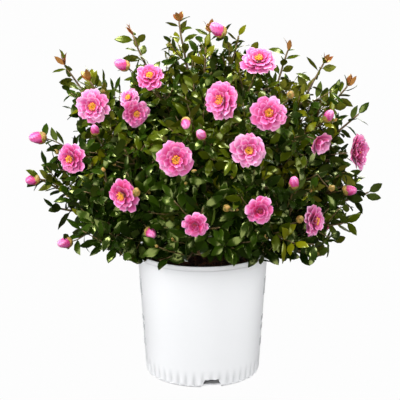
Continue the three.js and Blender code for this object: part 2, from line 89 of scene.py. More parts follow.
# Blooms on the front: the place of the middle, the width, the way each faces, its form and how pale it is.
BLOOMS = [
    ((-217, -130, 596), 68, (-0.15, -1, 0.1), "open", 0.6),
    ((-104, -130, 656), 58, (-0.1, -0.75, 0.6), "open", 0.1),
    ((-150, -58, 602), 46, (-0.4, -0.7, 0.5), "open", 0.7),
    ((-130, -170, 589), 56, (0.25, -0.9, -0.1), "open", 0.4),
    ((-50, -300, 524), 70, (0.05, -1, 0.15), "open", 0.3),
    ((-261, -150, 495), 66, (-0.5, -0.85, 0), "open", 0.2),
    ((-152, -270, 449), 70, (-0.55, -0.8, -0.1), "open", 0.2),
    ((-15, -330, 406), 50, (-0.15, -1, 0), "rose", 0.2),
    ((106, -310, 429), 56, (0.1, -1, 0.1), "rose", 0.3),
    ((85, -290, 540), 68, (0.1, -1, 0.15), "open", 0.7),
    ((223, -160, 371), 66, (0.78, -0.6, 0.05), "open", 0.7),
    ((312, -60, 489), 84, (0.85, -0.45, 0.1), "bowl", 0.4),
    ((125, -230, 599), 70, (0.05, -0.9, 0.35), "open", 0.2),
    ((34, -240, 626), 78, (-0.6, -0.75, 0.2), "open", 0.3),
    ((111, -100, 685), 72, (0, -0.6, 0.75), "open", 0.3),
    ((224, -180, 535), 64, (0.6, -0.7, -0.35), "cup", 0.9),
]

# Swollen buds: the place of the middle, the length, and the way each points.
BUDS = [
    ((-342, -20, 513), 38, (-0.9, -0.2, 0.1)),
    ((-358, 0, 419), 32, (-1, -0.1, -0.1)),
    ((-287, -60, 298), 34, (-0.8, -0.5, 0)),
    ((-210, -180, 559), 24, (-0.1, -0.5, 0.8)),
    ((-32, -270, 587), 26, (0, -0.8, -0.6)),
    ((-4, -290, 570), 26, (-0.3, -0.8, 0.6)),
    ((-100, -260, 372), 30, (0.4, -0.8, -0.3)),
    ((31, 0, 734), 40, (-0.7, -0.2, 0.6)),
    ((-163, -60, 670), 34, (-0.8, -0.3, 0.4)),
    ((256, -60, 566), 30, (0.4, -0.5, 0.7)),
    ((303, -60, 410), 32, (0.8, -0.5, 0.1)),
    ((175, -230, 465), 28, (0, -0.5, 0.9)),
]

# Small buds, still shut in their scales: the place of the middle, the length, and the way each points.
SMALL_BUDS = [
    ((-126, -280, 458), 20, (0.1, -0.5, 0.8)),
    ((45, -300, 432), 17, (0.3, -0.8, 0.5)),
    ((189, -220, 390), 18, (0.3, -0.6, 0.6)),
    ((257, -150, 436), 16, (0.4, -0.7, 0.5)),
    ((174, -120, 619), 18, (0.2, -0.5, 0.8)),
]

# Tips of the shoots that stand out of the crown's outline, and whether each ends in young bronze leaves.
LEADERS = [
    ((-300, 0, 681), True),
    ((-242, -60, 656), True),
    ((-151, 0, 746), True),
    ((-51, 0, 775), True),
    ((6, -60, 730), False),
    ((78, 10, 745), False),
    ((185, 0, 714), True),
    ((263, 0, 685), True),
    ((316, 0, 635), True),
    ((345, 10, 573), False),
    ((374, 0, 398), False),
    ((342, 20, 328), False),
    ((248, 0, 250), False),
    ((294, -60, 300), False),
    ((-379, 20, 430), False),
    ((-339, 20, 359), False),
    ((-204, -60, 262), False),
    ((16, 180, 735), True),
    ((36, 378, 400), False),
    ((-94, 340, 590), True),
]

LATTICE_COUNT, LATTICE_LOWEST, LATTICE_NEAREST, LATTICE_REACH = 110, -4, 9, (0.7, 0.86)
BACK_FROM, BACK_BLOOM_EVERY, BACK_BUD_EVERY, BACK_BLOOM_WIDTH, BACK_BUD_LENGTH = 70, 4, 5, 66, 30
SEED = 7

# ---- Finer growth, in millimetres --------------------------------------------------------------------------
LEAF_LENGTH, LEAF_WIDTH = (28, 40), (13, 17.5)
LEAF_SPACING, LEAF_TURN = 8, 137.5
LEAF_STATIONS = (0, 0.13, 0.31, 0.56, 0.82, 1)  # shares of the length
LEAF_HALF_WIDTHS = (0.08, 0.1, 0.76, 1, 0.6, 0.03)  # shares of half the width
LEAF_SHAPES = 12
LEAF_SCALE = (1.22, 1.0, 350, 620)  # leaves are larger low in the crown: the scale at these two heights
LEAF_ROOM = 7.5  # between the middles of two leaves
YOUNG_LEAVES = 3  # closed together at a bronze tip
SIDE_TWIG_SPACING, SIDE_TWIG_LENGTH = 13, (95, 50)
INNER_TWIG_SPACING, INNER_TWIG_LENGTH = 6, (70, 110)  # straight off a mass's own stem
SHY_DEPTH = 0.33  # no leaves nearer the heart than this share of the reach
OUTER_REACH = (1.02, 0.93)  # finer twigs keep inside this share of the reach, at the sides and at the top
SKIRT_FROM, SKIRT_RISE = 150, (1.05, 0.72)  # how the side twigs' underside rises to the left and to the right
BRIGHT_FROM = (0.8, 500)  # sprays beyond this share of the reach, and above this height, are lighter, partly the young growth's own colour and partly painted light
END_LEAF = 25  # the length of a shoot's topmost leaf
SHOOT_BEYOND = (5, 38)  # how far a plain shoot grows on past the source's tip
LEADER_BASE, LEADER_TIP, LEADER_SPACING = 3.4, 1.9, 8.5
FORKED_FROM = 0.16  # side twigs leave a shoot from this share of it on
FORKED_TO = {"leader": 0.6, "bud": 0.6, "bloom": 0.86, "plain": 0.86}  # and up to this one
SIDE_OPENING, SIDE_RADII = (0.65, 1.05), (1.4, 0.9)
INNER_RADII = (1.6, 0.9)
LEAF_OPENING, YOUNG_OPENING, END_OPENING = (0.7, 1.15), 0.26, 0.22  # the last two are shares of the first
YOUNG_SCALE, AGE_SCALE = 0.85, (0.9, 1.1)  # leaves grow larger down from a twig's end
LEAF_THICKNESS, PETAL_THICKNESS, SCALE_THICKNESS = 0.7, 0.5, 0.6
HANG = np.array([0, 0, 6])  # how far leaves may hang under the twigs' own limit
LEAF_PROBES = ((0.1, 0), (0.5, 0), (0.5, 0.45), (0.5, -0.45), (0.8, 0), (1, 0))  # shares of length and width
LEAVES_A_PIECE = 1700  # so that each piece stays under 200,000 triangles
TIP_BUD_CHANCE, TIP_BUD_LENGTH = 0.15, (8, 15)
SEEDS = {"bough": 20, "stem": 60, "leaf": 300, "inner": 400, "shoot": 1000, "twig": 5000, "head": 7000}
SIDE_SEED, INNER_SEED = 10000, 40000
VIEWER = np.array([0, -2600, 1000])  # where the photo is taken from

# Leaf tints, as sRGB of the upper and under side, with how often a spray inside and outside takes each.
LEAF_TINTS = {
    "deep": (0x122202, 0x2A360E, 0.46, 0.12),
    "mid": (0x1F3303, 0x364410, 0.35, 0.36),
    "olive": (0x394403, 0x4F5314, 0.13, 0.32),
    "light": (0x5A5C04, 0x6A6A20, 0.06, 0.2),
    "bronze": (0x74401E, 0x8C5E30, 0, 0),
}
LEAF_GLOSS = (0.88, 1, 0.32, 1)  # the waxy skin's tint


# ---- Mathematics -------------------------------------------------------------------------------------------
def unit(way):
    return way / np.linalg.norm(way, axis=-1, keepdims=True)


def lerp(a, b, share):
    return a + (b - a) * share


def direction_at(azimuth, elevation):
    a, e = math.radians(azimuth), math.radians(elevation)
    return np.array([math.cos(a) * math.cos(e), math.sin(a) * math.cos(e), math.sin(e)])


def side_of(direction):
    """A unit vector square to a direction, and as near upright as can be."""
    away = np.array([1.0, 0, 0]) if abs(direction[2]) > 0.9 else np.array([0, 0, 1.0])
    return unit(away - direction * away.dot(direction))


def around(axis, angle):
    """The ways square to a unit axis, at these angles about it."""
    side = side_of(axis)
    return np.cos(angle)[..., None] * side + np.sin(angle)[..., None] * np.cross(axis, side)


def seeded(seed):
    """The source's own random numbers, from 0 to 1."""
    state = ((seed + 1) * 2654435761) & 0xFFFFFFFF
    while True:
        state = (state * 1664525 + 1013904223) & 0xFFFFFFFF
        yield state / 4294967296


class Curve:
    """A Bezier curve that is walked by shares of its length."""

    def __init__(self, *controls):
        self.controls = [np.asarray(c, float) for c in controls]
        self.places = self.point(np.linspace(0, 1, 49))
        runs = np.linalg.norm(np.diff(self.places, axis=0), axis=1)
        self.lengths = np.concatenate([[0], np.cumsum(runs)])
        self.length = self.lengths[-1]

    def point(self, t):
        t = np.atleast_1d(t)[:, None]
        points = [c + 0 * t for c in self.controls]
        while len(points) > 1:
            points = [lerp(a, b, t) for a, b in zip(points, points[1:])]
        return points[0]

    def at(self, share):
        along = np.asarray(share) * self.length
        return np.stack([np.interp(along, self.lengths, self.places[:, i]) for i in range(3)], axis=-1)

    def onward(self, share):
        step = 0.01
        return unit(self.at(min(share + step, 1)) - self.at(max(share - step, 0)))


# ---- The crown's plan --------------------------------------------------------------------------------------
def reach_along(direction):
    return lerp(REACH_SIDE, REACH_TOP, max(direction[2], 0) ** REACH_RISE)


def from_heart(direction, share):
    return HEART + direction * reach_along(direction) * share


def share_of_reach(point):
    way = point - HEART
    far = np.linalg.norm(way)
    return far / reach_along(way / far)


def outer_reach(point):
    """The share of the reach that finer growth near a point keeps to."""
    return lerp(*OUTER_REACH, max(unit(point - HEART)[2], 0) ** 2)


class Mass:
    def __init__(self, name, axis, fork=None):
        self.name, self.axis, self.fork = name, axis, fork
        self.shoots = []


class Shoot:
    """A shoot of the crown: plain or leader (both end in leaves), bloom or bud."""

    def __init__(self, kind, tip, **more):
        self.kind, self.tip = kind, tip
        self.faces = None
        self.bronze = False
        self.__dict__.update(more)

    @property
    def ends_in_leaf(self):
        return self.kind in ("plain", "leader")


def plan_masses():
    masses = [Mass("top", direction_at(*TOP_AXIS))]
    for ring in RINGS:
        for i in range(ring["count"]):
            azimuth = ring["first"] + 360 / ring["count"] * i
            fork = ring["fork"] + ring["fork_step"] * (i % 2)
            masses.append(Mass(f"{ring['name']}_{i + 1}", direction_at(azimuth, ring["elevation"]), fork))
    return masses


TRUNK_CURVE = Curve(
    (0, 0, SOIL_TOP - TRUNK_BURIED),
    (*TRUNK_LEAN, 330),
    (TRUNK_LEAN[0], -TRUNK_LEAN[1], 420),
    from_heart(direction_at(*TOP_AXIS), LIMB_SHARE),
)


def trunk_radius(share):
    flare = np.maximum(0, 1 - share * 9) ** 2
    return lerp(TRUNK_BASE, TRUNK_TIP, share) + (TRUNK_FLARE - TRUNK_BASE) * flare


def bough_curve(mass):
    shares = np.linspace(0, 1, 200)
    foot = TRUNK_CURVE.at(np.interp(mass.fork, TRUNK_CURVE.at(shares)[:, 2], shares))
    tip = from_heart(mass.axis, LIMB_SHARE)
    bend = lerp(foot, tip, 0.5)
    bend[2] -= np.linalg.norm(tip - foot) * BOUGH_SAG
    return Curve(foot, bend, tip)


def stem_curve(mass):
    """A mass's own stem runs on from its bough or the trunk."""
    limb = mass.bough if mass.fork else TRUNK_CURVE
    onward = limb.onward(1)
    foot = limb.at(1.0) + onward * CLEARANCE
    tip = from_heart(mass.axis, STEM_SHARE)
    return Curve(foot, foot + onward * np.linalg.norm(tip - foot) * 0.5, tip)


def mass_of(point):
    direction = unit(point - HEART)
    return max(masses, key=lambda mass: mass.axis.dot(direction))


def in_open_air(point):
    """Whether a point is above the crown's underside and outside the pot's room."""
    underside = UNDERSIDE_LEVEL + UNDERSIDE_FRONT_RISE * max(-point[1], 0)
    out = math.hypot(point[0], point[1])
    return point[2] >= underside and not (out < POT_ROOM_RADIUS and point[2] < POT_ROOM_TOP)


def in_skirt(point):
    """Whether a point is above the rise of the crown's underside to its left and right, for finer twigs."""
    rise = SKIRT_RISE[point[0] > 0] * max(abs(point[0]) - SKIRT_FROM, 0)
    return point[2] >= UNDERSIDE_LEVEL + rise


def in_space(mass, point, margin):
    """A mass's space is the cone of points whose way from the heart lies nearest its axis."""
    return in_open_air(point) and all((point - HEART) @ across > margin for across in mass.borders)


def bloom_shoot(middle, width, faces, form="open", pale=0.3):
    middle, faces = np.array(middle, float), unit(np.array(faces, float))
    tip = middle - faces * BLOOM_SEAT * width
    return Shoot("bloom", tip, middle=middle, faces=faces, width=width, form=form, pale=pale)


def bud_shoot(middle, length, faces):
    middle, faces = np.array(middle, float), unit(np.array(faces, float))
    return Shoot("bud", middle - faces * BUD_SEAT * length, middle=middle, faces=faces, length=length)


def leader_shoot(leaf_tip, bronze):
    outward = unit(np.array(leaf_tip, float) - HEART)
    return Shoot("leader", leaf_tip - outward * LEADER_SEAT, bronze=bronze)


def plan_shoots():
    """Those with a named tip, then a lattice of tips that fills the rest of the crown evenly."""
    shoots = [bloom_shoot(*bloom) for bloom in BLOOMS]
    shoots += [bud_shoot(*bud) for bud in BUDS]
    shoots += [leader_shoot(*leader) for leader in LEADERS]
    taken = np.array([unit(shoot.tip - HEART) for shoot in shoots])
    golden = math.pi * (3 - math.sqrt(5))
    lowest = math.sin(math.radians(LATTICE_LOWEST))
    random = seeded(SEED)
    at_back = 0
    for i in range(LATTICE_COUNT):
        z = lerp(lowest, 1, (i + 0.5) / LATTICE_COUNT)
        out = math.sqrt(1 - z * z)
        direction = np.array([math.cos(golden * i) * out, math.sin(golden * i) * out, z])
        share = lerp(*LATTICE_REACH, next(random))
        if (taken @ direction).max() > math.cos(math.radians(LATTICE_NEAREST)):
            continue
        tip = from_heart(direction, share)
        at_back += tip[1] > BACK_FROM
        if tip[1] > BACK_FROM and at_back % BACK_BLOOM_EVERY == 0:
            form = "rose" if i % 3 == 0 else "open"
            shoots.append(bloom_shoot(tip, BACK_BLOOM_WIDTH, direction, form, i % 5 / 6))
        elif tip[1] > BACK_FROM and at_back % BACK_BUD_EVERY == 0:
            shoots.append(bud_shoot(tip, BACK_BUD_LENGTH, direction))
        else:
            shoots.append(Shoot("plain", tip))
    for i, shoot in enumerate(shoots):
        shoot.seed = i
        shoot.mass = mass_of(shoot.tip)
        shoot.mass.shoots.append(shoot)
    for mass in masses:
        spread_feet(mass)
    return shoots


def spread_feet(mass):
    """A mass's shoots leave its stem one after another, those that point furthest from its axis first."""
    mass.shoots.sort(key=lambda shoot: unit(shoot.tip - HEART) @ mass.axis)
    for i, shoot in enumerate(mass.shoots):
        shoot.foot = lerp(*SHOOT_FEET, (i + 0.5) / len(mass.shoots))


def in_room_of(head, points):
    """Which points lie in the room of a bloom or bud: its own, and the clear way in front of a bloom."""
    way = points - head.middle
    if head.kind == "bud":
        return np.linalg.norm(way, axis=-1) < ROOM["bud"] * head.length
    ahead = way @ head.faces
    aside = np.linalg.norm(way - ahead[..., None] * head.faces, axis=-1)
    between = (ahead > ROOM["behind"] * head.width) & (ahead < ROOM["ahead"] * head.width)
    return between & (aside < ROOM["aside"] * head.width)


def shoot_curve(shoot):
    """A shoot turns to end the way it points. The more its way is barred, the less it turns."""
    outward = unit(shoot.tip - HEART)
    ending = shoot.faces if shoot.faces is not None else unit(outward + (0, 0, SHOOT_LIFT))
    ways = []
    for start, turn in itertools.product((shoot.foot, shoot.foot * 0.5), SHOOT_TURNS):
        foot = shoot.mass.stem.at(start)
        length = np.linalg.norm(shoot.tip - foot)
        bend = lerp(lerp(foot, shoot.tip, 1 - turn), shoot.tip - ending * turn * length, SHOOT_HOLD)
        curve = Curve(foot, bend, shoot.tip)
        if twig_fits(shoot, curve, in_own_space=True):
            return curve
        ways.append(curve)
    open_ways = [curve for curve in ways if twig_fits(shoot, curve, in_own_space=False)]
    return (open_ways or [None])[0]


def twig_fits(shoot, curve, in_own_space):
    places = curve.point(np.arange(2, SHOOT_PROBES) / SHOOT_PROBES)
    if not all(in_open_air(place) for place in places):
        return False
    if in_own_space and not all(in_space(shoot.mass, place, TWIG_BASE) for place in places):
        return False
    return not any(in_room_of(head, places).any() for head in heads if head is not shoot)


# ---- Meshes ------------------------------------------------------------------------------------------------
class Piece:
    """One joined mesh in the making. Points are in millimetres; the faces of a block have as many corners."""

    def __init__(self, name, slot, *materials):
        self.name, self.slot, self.materials = name, slot, materials
        self.points, self.faces, self.face_slots, self.tints = [], [], [], []
        self.count = 0

    def add(self, points, faces, face_slot=0, tint=0.0):
        """Adds points and a block of their faces, and returns the number of their first point."""
        points = np.asarray(points, float).reshape(-1, 3)
        start = self.count
        self.points.append(points)
        self.tints.append(np.broadcast_to(tint, len(points)))
        self.count += len(points)
        self.add_faces(faces, start, face_slot)
        return start

    def add_faces(self, faces, start, face_slot=0):
        self.faces.append(np.asarray(faces, int) + start)
        self.face_slots.append(np.full(len(faces), face_slot))

    def make(self):
        mesh = bpy.data.meshes.new(self.name)
        points = (np.concatenate(self.points) * MM).astype(np.float32)
        corners = np.concatenate([block.ravel() for block in self.faces]).astype(np.int32)
        sizes = np.concatenate([np.full(len(block), block.shape[1]) for block in self.faces])
        starts = np.concatenate([[0], np.cumsum(sizes)[:-1]]).astype(np.int32)
        mesh.vertices.add(len(points))
        mesh.vertices.foreach_set("co", points.ravel())
        mesh.loops.add(len(corners))
        mesh.loops.foreach_set("vertex_index", corners)
        mesh.polygons.add(len(sizes))
        mesh.polygons.foreach_set("loop_start", starts)
        mesh.polygons.foreach_set("material_index", np.concatenate(self.face_slots).astype(np.int32))
        mesh.polygons.foreach_set("use_smooth", np.ones(len(sizes), bool))
        tint = mesh.attributes.new("tint", "FLOAT", "POINT")
        tint.data.foreach_set("value", np.concatenate(self.tints).astype(np.float32))
        for material in self.materials:
            mesh.materials.append(material)
        mesh.update(calc_edges=True)
        piece = bpy.data.objects.new(self.name, mesh)
        bpy.context.scene.collection.objects.link(piece)
        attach(piece, "root")
        return piece


def grid_faces(rows, columns, closed=False):
    """Quads over a grid of points, row by row. A closed grid joins its last column to its first."""
    i, j = np.meshgrid(np.arange(rows - 1), np.arange(columns - (0 if closed else 1)), indexing="ij")
    after = (j + 1) % columns
    quads = [i * columns + j, i * columns + after, (i + 1) * columns + after, (i + 1) * columns + j]
    return np.stack(quads, axis=-1).reshape(-1, 4)


def thin_sheet(grid, thickness):
    """Two skins over a grid of points, which meet at its margins: points and faces, the upper skin first."""
    rows, columns = grid.shape[:2]
    normals = unit(np.cross(np.gradient(grid, axis=0), np.gradient(grid, axis=1)) + 1e-9)
    inside = np.outer(np.arange(rows) % (rows - 1) > 0, np.arange(columns) % (columns - 1) > 0)
    half = normals * inside[..., None] * thickness / 2
    faces = grid_faces(rows, columns)
    points = np.concatenate([(grid + half).reshape(-1, 3), (grid - half).reshape(-1, 3)])
    return points, np.concatenate([faces, faces[:, ::-1] + rows * columns])


def ring_frames(path):
    """Two unit vectors square to a path at each of its points, carried along it without twisting."""
    onward = unit(np.gradient(path, axis=0))
    first = side_of(onward[0])
    firsts = []
    for way in onward:
        first = unit(first - way * first.dot(way))
        firsts.append(first)
    firsts = np.array(firsts)
    return firsts, np.cross(onward, firsts)


def add_tube(piece, path, radii, sides, relief=None, face_slot=0):
    """A closed tube along a path. relief(angle, row) scales its radius."""
    rows = len(path)
    first, second = ring_frames(path)
    angle = np.arange(sides) / sides * TURN
    radius = np.broadcast_to(np.asarray(radii, float), rows)[:, None] * np.ones(sides)
    if relief is not None:
        radius = radius * relief(angle[None, :], np.arange(rows)[:, None])
    out = first[:, None] * np.cos(angle)[None, :, None] + second[:, None] * np.sin(angle)[None, :, None]
    rings = path[:, None] + out * radius[..., None]
    points = np.concatenate([rings.reshape(-1, 3), path[:1], path[-1:]])
    start = piece.add(points, grid_faces(rows, sides, closed=True), face_slot)
    corner = np.arange(sides)
    after = (corner + 1) % sides
    last = (rows - 1) * sides
    foot = np.stack([np.full(sides, rows * sides), after, corner], axis=-1)
    tip = np.stack([np.full(sides, rows * sides + 1), last + corner, last + after], axis=-1)
    piece.add_faces(np.concatenate([foot, tip]), start, face_slot)


BOX_CORNERS = np.array([(a, b, c) for a in (-1, 1) for b in (-1, 1) for c in (-1, 1)], float)
BOX_FACES = [(0, 1, 3, 2), (4, 6, 7, 5), (0, 4, 5, 1), (2, 3, 7, 6), (0, 2, 6, 4), (1, 5, 7, 3)]


def in_place(points, origin, along, upper):
    """Moves points made with their length along +X and their upper side to +Z."""
    x = unit(along)
    y = unit(np.cross(upper, x))
    return origin + np.asarray(points) @ np.array([x, y, np.cross(x, y)])


# ---- Materials ---------------------------------------------------------------------------------------------
def linear(code):
    """A colour as Blender holds it, from an sRGB code such as 0x2C4D17."""
    parts = [(code >> shift & 255) / 255 for shift in (16, 8, 0)]
    return (*[p / 12.92 if p <= 0.04045 else ((p + 0.055) / 1.055) ** 2.4 for p in parts], 1)


class Look:
    """A Principled material in the making, with helpers for its procedural nodes."""

    def __init__(self, name, colour, roughness, **sockets):
        self.material = bpy.data.materials.new(name)
        self.material.use_nodes = True
        self.nodes = self.material.node_tree.nodes
        self.links = self.material.node_tree.links
        self.shader = self.nodes["Principled BSDF"]
        self.shader.inputs["Base Color"].default_value = linear(colour)
        self.shader.inputs["Roughness"].default_value = roughness
        for socket, value in sockets.items():
            self.shader.inputs[socket.replace("_", " ")].default_value = value
        self.coordinates = self.nodes.new("ShaderNodeTexCoord").outputs["Object"]

    def noise(self, scale, detail=4, stretch=None):
        """Noise with this many waves a metre. stretch scales the three axes apart."""
        node = self.nodes.new("ShaderNodeTexNoise")
        node.inputs["Scale"].default_value = scale
        node.inputs["Detail"].default_value = detail
        source = self.coordinates
        if stretch:
            mapping = self.nodes.new("ShaderNodeMapping")
            mapping.inputs["Scale"].default_value = stretch
            self.links.new(source, mapping.inputs["Vector"])
            source = mapping.outputs["Vector"]
        self.links.new(source, node.inputs["Vector"])
        return node.outputs["Fac"]

    def ramp(self, source, *stops):
        """A colour ramp over a value, from (place, sRGB code) stops."""
        node = self.nodes.new("ShaderNodeValToRGB")
        elements = node.color_ramp.elements
        while len(elements) < len(stops):
            elements.new(1)
        for element, (place, code) in zip(elements, stops):
            element.position = place
            element.color = linear(code)
        self.links.new(source, node.inputs["Fac"])
        return node.outputs["Color"]

    def colour(self, source):
        self.links.new(source, self.shader.inputs["Base Color"])
        return self

    def rough(self, source, low, high):
        node = self.nodes.new("ShaderNodeMapRange")
        node.inputs["To Min"].default_value = low
        node.inputs["To Max"].default_value = high
        self.links.new(source, node.inputs["Value"])
        self.links.new(node.outputs["Result"], self.shader.inputs["Roughness"])
        return self

    def bump(self, source, distance, strength=1):
        node = self.nodes.new("ShaderNodeBump")
        node.inputs["Distance"].default_value = distance * MM
        node.inputs["Strength"].default_value = strength
        self.links.new(source, node.inputs["Height"])
        self.links.new(node.outputs["Normal"], self.shader.inputs["Normal"])
        return self

    def attribute(self, name):
        node = self.nodes.new("ShaderNodeAttribute")
        node.attribute_name = name
        return node.outputs["Fac"]


def leaf_looks(tint):
    upper, under, *_ = LEAF_TINTS[tint]
    top = Look(f"leaf_{tint}_upper", upper, 0.3, Specular_IOR_Level=0.5, Specular_Tint=LEAF_GLOSS)
    top.bump(top.noise(90, 2), 0.6, 0.4)
    top.rough(top.noise(60), 0.18, 0.3)
    below = Look(f"leaf_{tint}_under", under, 0.6, Specular_IOR_Level=0.25, Specular_Tint=LEAF_GLOSS)
    below.bump(below.noise(300, 3), 0.4, 0.4)
    return top.material, below.material


def petal_look():
    look = Look("petal", 0xF27BBE, 0.5, Subsurface_Weight=0.1, Subsurface_Scale=0.002, Sheen_Weight=0.08)
    stops = ((0, 0xB01040), (0.32, 0xBE3276), (0.62, 0xD05C9C), (1, 0xE4A4C6))  # from root to edge; the deep end serves partly as painted shade at the roots and in the middle
    look.colour(look.ramp(look.attribute("tint"), *stops))
    return look.bump(look.noise(500, 3), 0.3, 0.3).material


def stamen_looks():
    """The filaments, the golden anthers, and the redder ones of a bloom still half shut."""
    looks = (("filament", 0xF8DC6E, 0.5), ("anther", 0xFBB42A, 0.6), ("anther_red", 0xE4572A, 0.6))
    return [Look(*look).material for look in looks]


def sepal_look():
    look = Look("sepal", 0x8F9A4C, 0.5)
    look.colour(look.ramp(look.noise(160), (0.35, 0x6C6A2C), (0.5, 0xA88A42), (0.7, 0xC08850)))
    return look.bump(look.noise(400), 0.3, 0.5).material


def bark_look():
    look = Look("bark", 0x6B4A32, 0.8, Specular_IOR_Level=0.3)
    grain = look.noise(140, 6, stretch=(1, 1, 0.25))
    look.colour(look.ramp(grain, (0.3, 0x3A2A1E), (0.5, 0x6B4A34), (0.75, 0x94785C)))
    return look.bump(grain, 1.2, 0.8).material


def twig_look():
    look = Look("twig", 0x6E4630, 0.6)
    grain = look.noise(200, 4)
    look.colour(look.ramp(grain, (0.35, 0x453019), (0.55, 0x5E4A25), (0.75, 0x7E6C3C)))
    return look.bump(grain, 0.5, 0.6).material


def pot_look():
    look = Look("pot_plastic", 0xF6F7F9, 0.38, Specular_IOR_Level=0.4)
    # the grey end is painted shade: in the flutes, under the rim and on the ribs
    look.colour(look.ramp(look.attribute("tint"), (0, 0xF6F7F9), (1, 0x8E9194)))
    look.rough(look.noise(900, 2), 0.34, 0.46)
    return look.bump(look.noise(1200, 2), 0.08, 0.4).material


def soil_look():
    look = Look("potting_mix", 0x2A1A12, 0.95, Specular_IOR_Level=0.2)
    grain = look.noise(260, 6)
    look.colour(look.ramp(grain, (0.3, 0x0A0706), (0.5, 0x170F0B), (0.7, 0x2C1C14)))
    return look.bump(grain, 3, 1).material


def chip_look():
    look = Look("bark_chip", 0x5A3422, 0.85, Specular_IOR_Level=0.2)
    grain = look.noise(90, 5)
    look.colour(look.ramp(grain, (0.35, 0x170E0A), (0.5, 0x2E1B12), (0.7, 0x5C3823)))
    return look.bump(look.noise(500, 5), 1, 0.8).material


# ---- Pot and potting mix -----------------------------------------------------------------------------------
RIM_RADIUS, _, POT_HEIGHT = np.array(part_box("pot")[1]) / MM
RIM_HEIGHT, RIM_STEP, RIM_LIP = 10, 3.2, 2.2
FOOT_RADIUS, FOOT_ROUNDING = 122, 8
POT_WALL, POT_FLOOR = 2.2, 3
INSIDE_WALL = ((200, POT_WALL), (120, 3), (40, 5), (POT_FLOOR, 5))  # height, thickness: thicker at the flutes
POT_SIDES = 352
# the flutes' grooves are cut in and also greyed with painted shade
FLUTES = {"count": 44, "depth": 2.6, "high": 38, "fade_in": 3, "fade_out": 22, "painted_shade": 0.3}
RIM_SHADOW_LINE = {"width": 1.5, "painted_shade": 0.36}  # painted shadow: the dark line painted under the rim
NOTCH = {"count": 3, "first": -81, "low": 42, "high": 29, "height": 18, "depth": 16}
RIBS = {"azimuths": (-171, -165, -15, -9), "spans": ((176, 214), (119, 130), (98, 110), (62, 80))}
# the last value greys the ribs all over with painted shade
RIB_HALF_WIDTH, RIB_PROUD, RIB_EDGE, RIB_PAINTED_SHADE = 1.3, 0.9, 0.5, 0.7


def wall_radius(z):
    return lerp(FOOT_RADIUS, RIM_RADIUS - RIM_STEP, z / (POT_HEIGHT - RIM_HEIGHT))


def arc(middle, radius, start, end, steps):
    """Points (out, up) on an arc about a middle, its angles in degrees from straight out."""
    turn = np.radians(np.linspace(start, end, steps + 1))
    return np.stack([middle[0] + radius * np.cos(turn), middle[1] + radius * np.sin(turn)], axis=-1)


def pot_profile():
    """The pot's section as (out, up) points: from under its middle, up outside, and down inside."""
    rim_foot = POT_HEIGHT - RIM_HEIGHT
    foot = arc((wall_radius(FOOT_ROUNDING) - FOOT_ROUNDING, FOOT_ROUNDING), FOOT_ROUNDING, -90, 0, 8)
    heights = np.concatenate([np.arange(10, 28, 1.5), np.linspace(30, rim_foot - 2, 24)])
    wall = np.stack([wall_radius(heights), heights], axis=-1)
    lip = RIM_LIP
    under_rim = arc((RIM_RADIUS - lip, rim_foot + lip), lip, -90, 0, 5)
    over_rim = arc((RIM_RADIUS - lip, POT_HEIGHT - lip), lip, 0, 90, 5)
    inner_lip = arc((wall_radius(POT_HEIGHT) - POT_WALL + lip, POT_HEIGHT - lip), lip, 90, 180, 5)
    inside = [(wall_radius(z) - thickness, z) for z, thickness in INSIDE_WALL]
    under, corner, floor = [(0.5, 0), (60, 0)], [(wall_radius(rim_foot), rim_foot)], [(0.5, POT_FLOOR)]
    blocks = [under, foot, wall, corner, under_rim, over_rim, inner_lip, inside, floor]
    return np.concatenate([np.asarray(block, float) for block in blocks])


def pot_piece(material):
    profile = pot_profile()
    angle = np.arange(POT_SIDES) / POT_SIDES * 2 * math.pi
    out, up = profile[:, :1], profile[:, 1:]
    outside = (out > wall_radius(up) - 1) & (up > 0.2)
    fade = np.clip(up / FLUTES["fade_in"], 0, 1) * np.clip((FLUTES["high"] - up) / FLUTES["fade_out"], 0, 1)
    groove = (0.5 + 0.5 * np.cos(FLUTES["count"] * angle)) ** 2
    radius = out - FLUTES["depth"] * fade * groove * outside
    grid = np.stack([radius * np.cos(angle), radius * np.sin(angle), up + 0 * angle], axis=-1)
    piece = Piece("pot_shell", "pot", material)
    rows = len(profile)
    # painted shade in the tint: a grey line under the rim and grey down the flutes' grooves
    rim_shadow_line = RIM_SHADOW_LINE["painted_shade"] * np.exp(-(((up - POT_HEIGHT + RIM_HEIGHT) / RIM_SHADOW_LINE["width"]) ** 2))
    painted_shade = FLUTES["painted_shade"] * fade * groove * outside + rim_shadow_line * outside
    piece.add(grid, grid_faces(rows + 1, POT_SIDES, closed=True) % (rows * POT_SIDES), 0, painted_shade.ravel())
    shell = piece.make()
    cut_notches(shell)
    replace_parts(shell, "pot")
    side_ribs(material)


def side_ribs(material):
    """Two broken rows of small raised ribs, down the left and the right of the wall, greyed all over with painted
    shade.
    """
    ribs = Piece("pot_ribs", "pot", material)
    for azimuth, (low, high) in itertools.product(RIBS["azimuths"], RIBS["spans"]):
        out = direction_at(azimuth, 0)
        foot, top = [out * wall_radius(z) + (0, 0, z) for z in (low, high)]
        half = np.array([(high - low) / 2, RIB_HALF_WIDTH, RIB_PROUD])
        ribs.add(in_place(BOX_CORNERS * half, lerp(foot, top, 0.5), top - foot, out), BOX_FACES, 0, RIB_PAINTED_SHADE)
    made = ribs.make()
    bevel = made.modifiers.new("edges", "BEVEL")
    bevel.width, bevel.segments = RIB_EDGE * MM, 2
    bake_modifiers(made)


